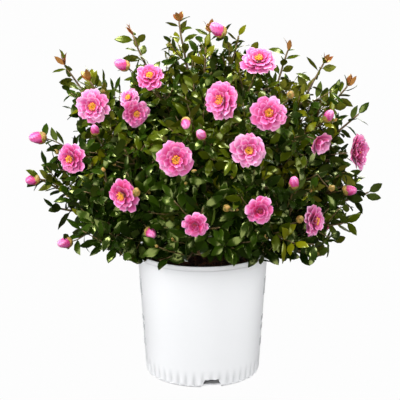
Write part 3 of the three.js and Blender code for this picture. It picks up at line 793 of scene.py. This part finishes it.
def cut_notches(shell):
    """Cuts the drain slots, trapezoids let into the foot, out of the shell."""
    low, high, height, below = NOTCH["low"] / 2, NOTCH["high"] / 2, NOTCH["height"], 5
    outline = [(-low, -below), (low, -below), (low, 0), (high, height), (-high, height), (-low, 0)]
    n = len(outline)
    sides = [(j, (j + 1) % n, n + (j + 1) % n, n + j) for j in range(n)]
    tool = Piece("notch_tool", "pot")
    for i in range(NOTCH["count"]):
        ahead = direction_at(NOTCH["first"] + 360 / NOTCH["count"] * i, 0)
        aside = np.array([-ahead[1], ahead[0], 0])
        depths = (FOOT_RADIUS - NOTCH["depth"], FOOT_RADIUS + 20)
        start = tool.add([[ahead * out + aside * x + (0, 0, z) for x, z in outline] for out in depths], sides)
        tool.add_faces([tuple(range(n))[::-1], tuple(range(n, 2 * n))], start)
    cutter = tool.make()
    cut = shell.modifiers.new("notches", "BOOLEAN")
    cut.operation, cut.solver, cut.object = "DIFFERENCE", "EXACT", cutter
    bake_modifiers(shell)
    bpy.data.objects.remove(cutter)
    shell.data.polygons.foreach_set("use_smooth", np.ones(len(shell.data.polygons), bool))
    shell.data.set_sharp_from_angle(angle=math.radians(35))


def bake_modifiers(piece):
    """Puts a piece's modifiers into its mesh."""
    bpy.context.view_layer.update()
    shown = piece.evaluated_get(bpy.context.evaluated_depsgraph_get())
    mesh = bpy.data.meshes.new_from_object(shown)
    piece.modifiers.clear()
    piece.data = mesh


MIX_EDGE = wall_radius(SOIL_TOP) - POT_WALL - 0.3
MIX_SEED = 3
CHIP_COUNT, CHIP_HALF_SIZE = 900, ((4, 2, 1), (10, 5, 2.4))


def lumps(x, y, seed):
    """A smooth bumpy height between about -1 and 1 over a plane in millimetres."""
    rng = np.random.default_rng(seed)
    height = 0
    for wave in (60, 31, 17, 9):
        turn, shift = rng.uniform(0, TURN, 2)
        across = x * math.cos(turn) + y * math.sin(turn)
        along = y * math.cos(turn) - x * math.sin(turn)
        height = height + np.sin(across / wave * NEAR_TURN + shift) * np.sin(along / wave * NEAR_TURN) * wave / 60
    return height / 1.9


def potting_mix(material):
    """A bumpy disc that closes the pot."""
    rows, columns = 44, 150
    out = np.concatenate([np.linspace(0.5, MIX_EDGE, rows - 3), [MIX_EDGE, MIX_EDGE - 8, 0.5]])[:, None]
    angle = np.arange(columns) / columns * 2 * math.pi
    x, y = out * np.cos(angle), out * np.sin(angle)
    fall = np.where(out < MIX_EDGE, 1 - (out / MIX_EDGE) ** 6, 0)
    z = SOIL_TOP - 1 + fall * (4 + 2.6 * lumps(x, y, MIX_SEED)) + np.zeros_like(x)
    z[-2:] = SOIL_TOP - 30
    piece = Piece("potting_mix", "soil", material)
    piece.add(np.stack([x, y, z], axis=-1), grid_faces(rows, columns, closed=True)[:, ::-1])
    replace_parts(piece.make(), "soil")


def bark_chips(material):
    """Bark chips, lying all ways in the top of the mix."""
    chips = Piece("bark_chips", "soil", material)
    rng = np.random.default_rng(11)
    for _ in range(CHIP_COUNT):
        far = math.sqrt(rng.uniform(0, 1)) * (MIX_EDGE - 9)
        turn = rng.uniform(0, TURN)
        size = rng.uniform(*CHIP_HALF_SIZE)
        shape = BOX_CORNERS * size * rng.uniform(0.7, 1.1, BOX_CORNERS.shape)
        along = unit(rng.normal(size=3) * (1, 1, 0.35))
        upper = unit(rng.normal(size=3) * (0.4, 0.4, 0.2) + (0, 0, 1))
        place = np.array([far * math.cos(turn), far * math.sin(turn), 0])
        bump = 2.4 * lumps(place[0], place[1], MIX_SEED)
        place[2] = SOIL_TOP + 3.5 + bump - 3 * (far / MIX_EDGE) ** 6
        chips.add(in_place(shape, place, along, upper), BOX_FACES)
    made = chips.make()
    made.data.polygons.foreach_set("use_smooth", np.zeros(len(made.data.polygons), bool))


# ---- Limbs and twigs ---------------------------------------------------------------------------------------
BARK_STEP = 2.4  # along a limb


def bark_relief(seed, depth):
    """Ridges and furrows that run along a limb, and knobs on it, as a scale on its radius."""
    shifts = np.random.default_rng(seed).uniform(0, NEAR_TURN, 6)

    def relief(angle, row):
        s = row * BARK_STEP
        ridges = np.sin(5 * angle + 0.04 * s + shifts[0] + np.sin(s / 23 + shifts[1]))
        furrows = np.sin(9 * angle - 0.07 * s + shifts[2] + 0.8 * np.sin(s / 11 + shifts[3]))
        knobs = np.sin(2 * angle + s / 9 + shifts[4]) * np.sin(s / 14 + shifts[5])
        return 1 + depth * (0.5 * ridges + 0.35 * furrows + 0.6 * knobs)

    return relief


def bough_radius(share):
    """A bough swells where it leaves the trunk."""
    return lerp(BOUGH_BASE, BOUGH_TIP, share) * (1 + 0.6 * np.exp(-share * 14))


def stem_radius(share):
    return lerp(BOUGH_TIP, STEM_TIP, share)


def add_limb(piece, curve, radius_at, sides, seed, depth):
    shares = np.linspace(0, 1, max(int(curve.length / BARK_STEP), 4))
    add_tube(piece, curve.at(shares), radius_at(shares), sides, bark_relief(seed, depth))


def bark_piece(material):
    """The trunk with its root flare, the boughs, and each mass's stem, as one mesh with the bark's relief."""
    piece = Piece("bark_limbs", "bark", material)
    add_limb(piece, TRUNK_CURVE, trunk_radius, 30, 1, 0.12)
    for i, mass in enumerate(masses):
        if mass.fork:
            add_limb(piece, mass.bough, bough_radius, 16, SEEDS["bough"] + i, 0.1)
        add_limb(piece, mass.stem, stem_radius, 12, SEEDS["stem"] + i, 0.08)
    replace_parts(piece.make(), "trunk", *[f"bough_{mass.name}" for mass in masses if mass.fork])


class Twig:
    """A thin shoot: where it runs, how thick it is, and which leaves it bears."""

    def __init__(self, curve, radii, tint, seed, bare, last, ends_in_leaf, furthest):
        self.curve, self.radii, self.tint, self.seed = curve, radii, tint, seed
        self.bare, self.last = bare, last  # its leaves grow between these shares of it
        self.ends_in_leaf, self.furthest = ends_in_leaf, furthest
        self.stands_out, self.bud, self.leafy_to, self.forks = False, None, 0, []

    @property
    def shown_to(self):
        """How far along the twig its leaves and side twigs go."""
        if self.stands_out:
            return 1
        return max([self.leafy_to, *[share for share, side in self.forks if side.leafy_to]])


def spray_tint(rng, tip):
    """The tint of a spray's leaves: darker inside the crown, lighter at its outside and high up, partly the young
    growth's own colour and partly painted light and shade.
    """
    bright = share_of_reach(tip) > BRIGHT_FROM[0] and tip[2] > BRIGHT_FROM[1]
    return rng.choice(list(LEAF_TINTS), p=[looks[3 if bright else 2] for looks in LEAF_TINTS.values()])


def opened(onward, side, angle):
    """A way that opens by an angle from onward to one side."""
    return onward * math.cos(angle) + side * math.sin(angle)


def twigs_of(shoot):
    """A shoot's own twig, then its side twigs."""
    curve = shoot_curve(shoot)
    if curve is None:
        return []
    rng = np.random.default_rng(SEEDS["shoot"] + shoot.seed)
    leader = shoot.kind == "leader"
    if shoot.ends_in_leaf:
        foot, bend, end = curve.controls
        beyond = LEADER_SEAT - END_LEAF if leader else rng.uniform(*SHOOT_BEYOND)
        curve = cut_in_air(Curve(foot, bend, end + unit(shoot.tip - HEART) * beyond))
    tint = "bronze" if shoot.bronze else spray_tint(rng, shoot.tip)
    last = 0.9 if shoot.kind == "bloom" else 0.99
    radii = (LEADER_BASE, LEADER_TIP) if leader else (TWIG_BASE, TWIG_TIP)
    furthest = max(outer_reach(shoot.tip), share_of_reach(curve.at(1.0)) + 0.02)
    own = Twig(curve, radii, tint, SEEDS["twig"] + shoot.seed, 0.25, last, shoot.ends_in_leaf, furthest + 1)
    own.stands_out = shoot.kind != "plain"
    own.bud = shoot if shoot.kind == "bud" else None
    own.forks = side_twigs(shoot, curve, furthest, rng)
    return [own, *[twig for _, twig in own.forks]]


def side_twigs(shoot, curve, furthest, rng):
    """A shoot's side twigs and where they leave it, each turned on from the last, bending out and up."""
    forked_to = FORKED_TO[shoot.kind]
    count = int(curve.length * forked_to * 0.9 / SIDE_TWIG_SPACING)
    forks = []
    for i in range(count):
        share = lerp(FORKED_FROM, forked_to, (i + 0.5) / count)
        onward = curve.onward(share)
        side = around(onward, math.radians(LEAF_TURN) * i + rng.uniform(-0.4, 0.4))
        way = opened(onward, side, rng.uniform(*SIDE_OPENING))
        foot = curve.at(share)
        half = way * lerp(*SIDE_TWIG_LENGTH, share) * rng.uniform(0.75, 1.15) * 0.5
        lift = unit(way + unit(foot - HEART) * 0.35 + (0, 0, 0.25))
        side_curve = Curve(foot, foot + half, foot + half + lift * np.linalg.norm(half))
        if side_twig_fits(side_curve, furthest):
            tint = spray_tint(rng, side_curve.at(1.0))
            seed = SIDE_SEED + 40 * shoot.seed + i
            forks.append((share, Twig(side_curve, SIDE_RADII, tint, seed, 0.12, 0.98, True, furthest)))
    return forks


def inner_twigs(mass, number):
    """Leafy twigs straight off a mass's own stem, which fill the crown's inside."""
    rng = np.random.default_rng(SEEDS["inner"] + number)
    count = int(mass.stem.length / INNER_TWIG_SPACING)
    twigs = []
    for i in range(count):
        share = (i + 0.5) / count
        onward = mass.stem.onward(share)
        side = around(onward, math.radians(LEAF_TURN) * i)
        way = unit(side + onward * rng.uniform(0.1, 0.7))
        foot = mass.stem.at(share)
        length = rng.uniform(*INNER_TWIG_LENGTH)
        curve = Curve(foot, foot + way * length * 0.5, foot + unit(way + (0, 0, 0.2)) * length)
        furthest = outer_reach(curve.at(1.0))
        if side_twig_fits(curve, furthest):
            seed = INNER_SEED + 100 * number + i
            # the crown's inside always takes the deepest tint, partly painted shade
            twigs.append(Twig(curve, INNER_RADII, "deep", seed, 0.2, 0.98, False, furthest))
    return twigs


def cut_in_air(curve):
    """The curve, or as much of it as keeps to the open air."""
    places = curve.at(np.linspace(0.4, 1, 13))
    kept = [place for place in places if in_open_air(place)]
    return curve if len(kept) == len(places) else Curve(*curve.controls[:-1], (kept or [places[0]])[-1])


def side_twig_fits(curve, furthest):
    places = curve.at(np.linspace(0.3, 1, 5))
    if not all(in_open_air(place) and in_skirt(place) for place in places):
        return False
    if share_of_reach(places[-1]) > furthest - 0.03:
        return False
    return clear_of_heads(places)


def twig_piece(twigs, material):
    piece = Piece("twigs", "bark", material)
    for twig in [twig for twig in twigs if twig.shown_to]:
        rows = max(int(twig.curve.length / 14), 4)
        shares = np.linspace(0, twig.shown_to, rows + 1)
        kinks = 0.25 * np.random.default_rng(twig.seed).normal(size=(rows + 1, 3))
        kinks[[0, -1]] = 0
        add_tube(piece, twig.curve.at(shares) + kinks, lerp(*twig.radii, shares), 5)
    piece.make()


# ---- Leaves ------------------------------------------------------------------------------------------------
def leaf_shape(seed):
    """A leaf of unit length on a short stalk: an ellipse drawn out to a point, folded along its midrib."""
    rng = np.random.default_rng(seed)
    fold, curl = rng.uniform(0.3, 0.55), rng.uniform(0.3, 0.65)
    droop, wave, twist = rng.uniform(0.05, 0.5), rng.uniform(0, 0.02), rng.uniform(-0.3, 0.3)
    t = np.array(LEAF_STATIONS)[:, None]
    half = np.array(LEAF_HALF_WIDTHS)[:, None]
    across = np.array([-1, -0.55, 0, 0.55, 1])[None, :]
    aside = across * half
    waves = wave * np.sin(9 * t + 3 * across) * np.abs(across) * 2
    up = np.abs(aside) * math.tan(fold) - curl * aside**2 + waves
    turn = twist * t
    y = aside * np.cos(turn) - up * np.sin(turn)
    z = aside * np.sin(turn) + up * np.cos(turn)
    return t + 0 * across, y, z, droop


def leaf_points(shape, length, width):
    """A leaf's two skins at its real size."""
    t, y, z, droop = shape
    turn = droop * 2 * t
    x = length * np.sin(turn) / (2 * droop)
    down = length * (1 - np.cos(turn)) / (2 * droop)
    grid = np.stack([x, y * width / 2, z * width / 2 - down], axis=-1)
    return thin_sheet(grid, LEAF_THICKNESS)


class LeafBed:
    """All leaves, gathered tint by tint."""

    def __init__(self):
        self.shapes = [leaf_shape(SEEDS["leaf"] + i) for i in range(LEAF_SHAPES)]
        self.leaves = {tint: [] for tint in LEAF_TINTS}
        self.spots = {}

    def crowded(self, middle):
        """Whether another leaf's middle lies close by. Keeps the place if none does."""
        cell = tuple((middle // LEAF_ROOM).astype(int))
        for spot in itertools.product(*[(c - 1, c, c + 1) for c in cell]):
            if any(np.linalg.norm(other - middle) < LEAF_ROOM for other in self.spots.get(spot, ())):
                return True
        self.spots.setdefault(cell, []).append(middle)
        return False

    def grow(self, twig, tint, place, along, upper, rng, scale):
        """Grows a leaf where there is room for one, and says whether it did."""
        length, width = rng.uniform(*LEAF_LENGTH) * scale, rng.uniform(*LEAF_WIDTH) * scale
        x = unit(along)
        upper = unit(upper - x * (upper @ x))
        side = np.cross(upper, x)
        probes = np.array([place + x * length * s + side * width * a for s, a in LEAF_PROBES])
        middle = place + x * length * 0.5
        if not leaf_fits(probes, twig) or (tint != "bronze" and self.crowded(middle)):
            return False
        points, faces = leaf_points(self.shapes[rng.integers(LEAF_SHAPES)], length, width)
        self.leaves[tint].append((in_place(points, place, x, upper), faces))
        return True

    def make(self):
        pieces = []
        for tint, leaves in self.leaves.items():
            for number, start in enumerate(range(0, len(leaves), LEAVES_A_PIECE), 1):
                piece = Piece(f"leaves_{tint}_{number}", "foliage", *leaf_looks(tint))
                for points, faces in leaves[start : start + LEAVES_A_PIECE]:
                    upper, under = np.split(faces, 2)
                    piece.add_faces(under, piece.add(points, upper), 1)
                pieces.append(piece.make())
        return pieces


def leaf_fits(probes, twig):
    if not all(in_open_air(probe + HANG) and (twig.stands_out or in_skirt(probe)) for probe in probes):
        return False
    if share_of_reach(probes[1]) < SHY_DEPTH or share_of_reach(probes[-1]) > twig.furthest:
        return False
    return clear_of_heads(probes, twig.bud)


def clear_of_heads(points, own=None):
    """Whether points leave all blooms and buds but their own free, and in view."""
    others = [head for head in heads if head is not own]
    return not any(before(head, points).any() or in_room_of(head, points).any() for head in others)


def before(head, points):
    """Which points stand before a bloom or bud, as seen from the front or, at the back, from outside."""
    way = points - head.middle
    if head.middle[1] < 0:
        out = unit(VIEWER - head.middle)
    else:
        out = unit(head.faces + unit(head.middle * (1, 1, 0)))
    ahead = way @ out
    aside = np.linalg.norm(way - ahead[..., None] * out, axis=-1)
    room = 0.48 * head.width if head.kind == "bloom" else 0.4 * head.length
    return (ahead > 0) & (aside < room)


def leaf_scale(place):
    low, high, bottom, top = LEAF_SCALE
    return lerp(low, high, np.clip((place[2] - bottom) / (top - bottom), 0, 1))


def grow_leaves(bed, twig):
    """Leaves turned from one to the next along a twig, closer at its tip, faces out and up."""
    rng = np.random.default_rng(twig.seed)
    length = twig.curve.length * (twig.last - twig.bare)
    closed = YOUNG_LEAVES if twig.tint == "bronze" else 0
    spacing = LEADER_SPACING if twig.radii[0] == LEADER_BASE else LEAF_SPACING
    count = max(int(length / spacing), 3)
    for i in range(count + closed):
        share = lerp(twig.last, twig.bare, max(i - closed, 0) / count)
        place, onward = twig.curve.at(share), twig.curve.onward(share)
        side = around(onward, math.radians(LEAF_TURN) * i + rng.uniform(-0.5, 0.5))
        young, at_end = i < closed, i == 0 and twig.ends_in_leaf
        closing = YOUNG_OPENING if young else END_OPENING if at_end else 1
        along = opened(onward, side, rng.uniform(*LEAF_OPENING) * closing)
        outer = np.clip((share_of_reach(place) - 0.8) / 0.2, 0, 1)
        upper = lerp(0.75, 0.15, outer) * unit(place - HEART) + (0, 0, 0.2) + rng.normal(size=3) * 0.5
        tint = "olive" if twig.tint == "bronze" and not young else twig.tint
        scale = YOUNG_SCALE if young else lerp(*AGE_SCALE, min(i / 4, 1)) * leaf_scale(place)
        if bed.grow(twig, tint, place, along, upper, rng, scale):
            twig.leafy_to = max(twig.leafy_to, share)


# ---- Blooms and buds ---------------------------------------------------------------------------------------
# Whorls of an open bloom, outermost first: petals, length and spread as shares of the width and in degrees,
# the slope at the root and at the tip in degrees above the bloom's plane, and the height of the root.
WHORLS = {
    "open": [
        (8, 0.52, 31, 20, -8, -0.03),
        (8, 0.46, 30, 30, 4, 0),
        (7, 0.38, 31, 44, 18, 0.03),
        (6, 0.29, 32, 60, 40, 0.05),
        (5, 0.19, 30, 80, 66, 0.06),
    ],
    "rose": [
        (8, 0.52, 31, 22, -14, -0.03),
        (8, 0.44, 32, 38, 6, 0),
        (7, 0.37, 34, 58, 34, 0.02),
        (6, 0.31, 38, 76, 66, 0.03),
        (5, 0.25, 42, 92, 92, 0.05),
        (4, 0.2, 46, 104, 112, 0.06),
    ],
    "bowl": [
        (8, 0.52, 34, 42, 14, -0.03),
        (8, 0.47, 34, 54, 30, 0),
        (7, 0.4, 34, 66, 46, 0.03),
        (6, 0.3, 36, 76, 62, 0.05),
    ],
    "cup": [
        (6, 0.54, 36, 55, 30, -0.02),
        (5, 0.48, 36, 68, 52, 0.02),
        (4, 0.36, 36, 80, 78, 0.05),
    ],
}
STAMENS = {
    "open": {"count": 36, "spread": 1, "anther_slot": 1},
    "rose": {"count": 12, "spread": 0.5, "anther_slot": 2},  # redder, still half shut in
}


def petal(length, spread, slope, rng):
    """A petal from its root at the origin along +X: a broad rounded fan, notched, cupped and waved."""
    rows, columns = 7, 8
    u = np.linspace(0.1, 1, rows)[:, None]
    v = np.linspace(-1, 1, columns)[None, :]
    fan = v * math.radians(spread)
    notch = rng.uniform(0.02, 0.09)
    edge = (1 - 0.36 * np.abs(v) ** 2.4) * (1 - notch * np.exp(-((v - rng.uniform(-0.15, 0.15)) / 0.2) ** 2))
    ruffle = 1 + 0.025 * np.sin(11 * v + rng.uniform(0, NEAR_TURN))
    far = u * edge * ruffle * length
    along, aside = far * np.cos(fan), far * np.sin(fan)
    share = along / length
    low, high = math.radians(slope[0]), math.radians(slope[1])
    tilt = lerp(low, high, share)
    # the slope changes evenly along the petal, so its run and rise are integrals of cos and sin
    bend = high - low if abs(high - low) > 1e-3 else 1e-3
    run = length * (np.sin(tilt) - math.sin(low)) / bend
    rise = -length * (np.cos(tilt) - math.cos(low)) / bend
    cup = rng.uniform(0.25, 0.5) * aside**2 / length
    wave = 0.05 * length * u**3 * np.sin(v * rng.uniform(4, 7) + rng.uniform(0, NEAR_TURN))
    creases = 0.014 * length * u * rng.normal(size=columns)
    lift = cup * (1 - 0.5 * u) + wave + creases
    return np.stack([run - lift * np.sin(tilt), aside, rise + lift * np.cos(tilt)], axis=-1), u, v


def petal_tone_and_shade(u, v, ring, shoot, rng):
    """How light a petal is: pale at its edge, deep at its root, partly its own deeper colour and partly painted
    shade where inner petals cover it, and deeper ring by ring to the middle with painted shade.
    """
    tone = 0.03 + 0.64 * u**1.7 + 0.24 * u**7 + 0.16 * np.abs(v) ** 5 * u + 0.35 * (shoot.pale - 0.3)
    # painted shade: each ring nearer the middle is darker, more so in a rose
    tone = tone - (0.09 if shoot.form == "rose" else 0.05) * ring + rng.uniform(-0.12, 0.12)
    return tone + 0.06 * rng.normal(size=v.shape) * u


def add_bloom(petals, stamens, shoot):
    rng = np.random.default_rng(SEEDS["head"] + shoot.seed)
    width = shoot.width
    root = shoot.middle - shoot.faces * 0.1 * width
    for ring, (count, share, spread, low, high, height) in enumerate(WHORLS[shoot.form]):
        start = rng.uniform(0, NEAR_TURN)
        for i in range(count):
            turn = start + TURN * i / count + rng.uniform(-0.12, 0.12)
            slopes = np.array([low, high]) + rng.uniform(-11, 11, 2)
            length = share * width * rng.uniform(0.86, 1.04)
            sheet, u, v = petal(length, spread * rng.uniform(0.92, 1.08), slopes, rng)
            sheet[..., 0] += 0.03 * width
            points, faces = thin_sheet(sheet, PETAL_THICKNESS)
            place = root + shoot.faces * height * width
            tone = petal_tone_and_shade(u, v, ring, shoot, rng).ravel()
            placed = in_place(points, place, around(shoot.faces, turn), shoot.faces)
            petals.add(placed, faces, 0, np.concatenate([tone, tone - 0.05]))
    add_stamens(stamens, shoot, root, rng, **STAMENS.get(shoot.form, STAMENS["open"]))


def add_stamens(stamens, shoot, root, rng, count, spread, anther_slot):
    """A round brush of golden stamens."""
    ahead = shoot.faces * shoot.width
    for i in range(count):
        ring = math.sqrt(lerp(0.02, 1, (i + 1) / count))
        out = around(shoot.faces, math.radians(LEAF_TURN) * i) * shoot.width * ring * spread
        foot = root + ahead * 0.05 + out * 0.035
        head = root + ahead * (0.2 + rng.uniform(-0.015, 0.02)) + out * 0.115
        add_tube(stamens, np.array([foot, head]), 0.35, 3)
        anther = np.array([head - shoot.faces, head, head + shoot.faces * 1.2])
        add_tube(stamens, anther, [0.4, 1.2, 0.4], 5, face_slot=anther_slot)


def add_scales(piece, bud, radius, count, cover):
    """Overlapping scales round a bud's foot, up to a share of its length, each a rounded cap."""
    rows, columns = 6, 7
    u = np.linspace(0, 1, rows)[:, None]
    v = np.linspace(-1, 1, columns)[None, :]
    for i in range(count):
        ring = i // 3
        rise = cover * (0.6 + 0.4 * ring / max((count - 1) // 3, 1))
        angle = math.radians(LEAF_TURN) * i + v * 0.95 * np.sqrt(np.maximum(1 - (u * 0.98) ** 3, 0.02))
        share = u * rise * (1 - 0.1 * v**2)
        swell = bud_radius(share) * radius + 0.5 + 0.12 * (2 - ring)
        axis = bud.middle + bud.faces * ((share - 0.5) * bud.length)[..., None]
        points, quads = thin_sheet(axis + around(bud.faces, angle) * swell[..., None], SCALE_THICKNESS)
        piece.add(points, quads[:, ::-1])


def bud_radius(share):
    """A bud's girth from foot to tip, as a share of its widest."""
    return np.sqrt(np.clip(1 - (2 * np.clip(share, 0, 1) ** 0.85 - 1) ** 2, 0, 1)) ** 0.9


def add_bud(petals, sepals, bud):
    """A swollen bud: rolled petals in an egg, with a spiral of furrows, in a cup of scales."""
    rng = np.random.default_rng(SEEDS["head"] + bud.seed)
    radius = bud.length * 0.34
    rows, columns = 17, 24
    share = np.linspace(0.01, 1, rows)[:, None]
    angle = np.arange(columns) / columns * TURN
    spiral = (angle * 5 / TURN + share * 1.6) % 1
    swell = bud_radius(share) * radius * (1 - 0.13 * spiral * share)
    axis = bud.middle + bud.faces * ((share - 0.5) * bud.length)
    # painted shade: darker down each spiral furrow, where a rolled petal tucks under the next; lighter towards
    # the tip
    tone = 0.2 + 0.8 * share - 0.55 * spiral + rng.uniform(-0.05, 0.15)
    grid = axis[:, None] + around(bud.faces, angle) * swell[..., None]
    petals.add(grid, grid_faces(rows, columns, closed=True), 0, tone.ravel())
    add_scales(sepals, bud, radius, 7, 0.56)


def add_small_bud(sepals, stalks, bud, twigs):
    """A shut bud in its scales, on a short stalk from the nearest twig."""
    radius = 0.36 * bud.length
    share = np.linspace(0, 1, 8)
    foot = bud.middle - bud.faces * 0.5 * bud.length
    axis = foot + bud.faces * (share * bud.length)[:, None]
    add_tube(sepals, axis, bud_radius(share) * radius * 0.9 + 0.2, 10)
    add_scales(sepals, bud, radius, 10, 0.95)
    shown = [twig for twig in twigs if twig.shown_to > 0.1]
    places = np.concatenate([twig.curve.at(np.linspace(0.1, twig.shown_to, 12)) for twig in shown])
    nearest = places[np.argmin(np.linalg.norm(places - foot, axis=1))]
    stalk = Curve(nearest, lerp(nearest, foot, 0.5) - (0, 0, 3), foot)
    add_tube(stalks, stalk.at(share), 1.1, 5)


def add_tip_bud(sepals, twig, rng):
    """A small closed bud at a leafy twig's end."""
    faces = unit(twig.curve.onward(1) + rng.normal(size=3) * 0.3)
    length = rng.uniform(*TIP_BUD_LENGTH)
    foot = twig.curve.at(twig.shown_to)
    if any(in_room_of(head, foot[None]).any() for head in heads):
        return
    share = np.linspace(0, 1, 6)
    add_tube(sepals, foot + faces * (share * length)[:, None], bud_radius(share) * length * 0.3 + 0.2, 6)


# ---- Stage -------------------------------------------------------------------------------------------------
FLOOR_REACH, FLOOR_GLOW, SKY_GLOW = 40, 0.983, 0.08
LIGHT_AIM = Vector((0, 0, 0.45))
LIGHTS = {  # place, width and power
    "front": ((-0.5, -3.2, 1.2), 2, 75),
    "key": ((-1.0, -1.0, 2.7), 0.7, 84),
    "top": ((0.7, 0.3, 2.6), 0.9, 60),
    "left": ((-2.3, -0.9, 0.9), 1.4, 42),
    "right": ((2.3, -0.9, 0.9), 1.4, 41),
    "back": ((0.8, 3.0, 1.8), 2, 65),
}


def studio():
    scene = bpy.context.scene
    scene.view_settings.view_transform = "Standard"
    world = bpy.data.worlds.new("studio")
    world.use_nodes = True
    background = world.node_tree.nodes["Background"]
    background.inputs["Color"].default_value = (1, 1, 1, 1)
    background.inputs["Strength"].default_value = SKY_GLOW
    scene.world = world
    floor = Look("floor", 0x000000, 1, Emission_Strength=FLOOR_GLOW, Specular_IOR_Level=0)
    floor.shader.inputs["Emission Color"].default_value = (1, 1, 1, 1)
    square = ((-1, -1), (1, -1), (1, 1), (-1, 1))
    corners = [(x * FLOOR_REACH, y * FLOOR_REACH, z) for z in (0, FLOOR_REACH) for x, y in square]
    walls = [(i, (i + 1) % 4, (i + 1) % 4 + 4, i + 4) for i in range(4)]
    mesh = bpy.data.meshes.new("floor")
    mesh.from_pydata(corners, [], [(0, 1, 2, 3), *walls])
    mesh.materials.append(floor.material)
    ground = bpy.data.objects.new("floor", mesh)
    scene.collection.objects.link(ground)
    ground.visible_diffuse = ground.visible_glossy = False
    for name, light in LIGHTS.items():
        area_light(name, *light)


def area_light(name, place, width, power):
    data = bpy.data.lights.new(name, "AREA")
    data.shape, data.size, data.energy = "DISK", width, power
    light = bpy.data.objects.new(name, data)
    light.location = place
    light.rotation_euler = (LIGHT_AIM - light.location).to_track_quat("-Z", "Y").to_euler()
    bpy.context.scene.collection.objects.link(light)


def camera():
    data = bpy.data.cameras.new("camera")
    data.lens, data.sensor_width = 113.8, 36
    made = bpy.data.objects.new("camera", data)
    made.location = (-0.0056, -2.6, 0.999)
    made.rotation_euler = (math.radians(76.51), 0, 0)
    bpy.context.scene.collection.objects.link(made)
    bpy.context.scene.camera = made


# ---- Assembly ----------------------------------------------------------------------------------------------
masses = plan_masses()
for mass in masses:
    mass.borders = [unit(mass.axis - other.axis) for other in masses if other is not mass]
    if mass.fork:
        mass.bough = bough_curve(mass)
    mass.stem = stem_curve(mass)
shoots = plan_shoots()
small_buds = [bud_shoot(*bud) for bud in SMALL_BUDS]
heads = [shoot for shoot in shoots if shoot.kind in ("bloom", "bud")] + small_buds

camera()
studio()
pot_piece(pot_look())
potting_mix(soil_look())
bark_chips(chip_look())
bark_piece(bark_look())

twigs = [twig for shoot in shoots for twig in twigs_of(shoot)]
for number, mass in enumerate(masses):
    twigs += inner_twigs(mass, number)
bed = LeafBed()
for twig in twigs:
    grow_leaves(bed, twig)
leaf_pieces = bed.make()
twig_piece(twigs, twig_look())
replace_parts(leaf_pieces[0], *[f"foliage_{mass.name}" for mass in masses])

petals = Piece("petals", "petals", petal_look())
sepals = Piece("bud_scales", "foliage", sepal_look())
stamens = Piece("stamens", "stamens", *stamen_looks())
stalks = Piece("bud_stalks", "bark", twig_look())
for head in heads:
    if head in small_buds:
        add_small_bud(sepals, stalks, head, twigs)
    elif head.kind == "bloom":
        add_bloom(petals, stamens, head)
    else:
        add_bud(petals, sepals, head)
bud_rng = np.random.default_rng(99)
for twig in twigs:
    if twig.ends_in_leaf and twig.leafy_to > 0.9 and bud_rng.uniform() < TIP_BUD_CHANCE:
        add_tip_bud(sepals, twig, bud_rng)
for piece in (petals, sepals, stamens, stalks):
    piece.make()
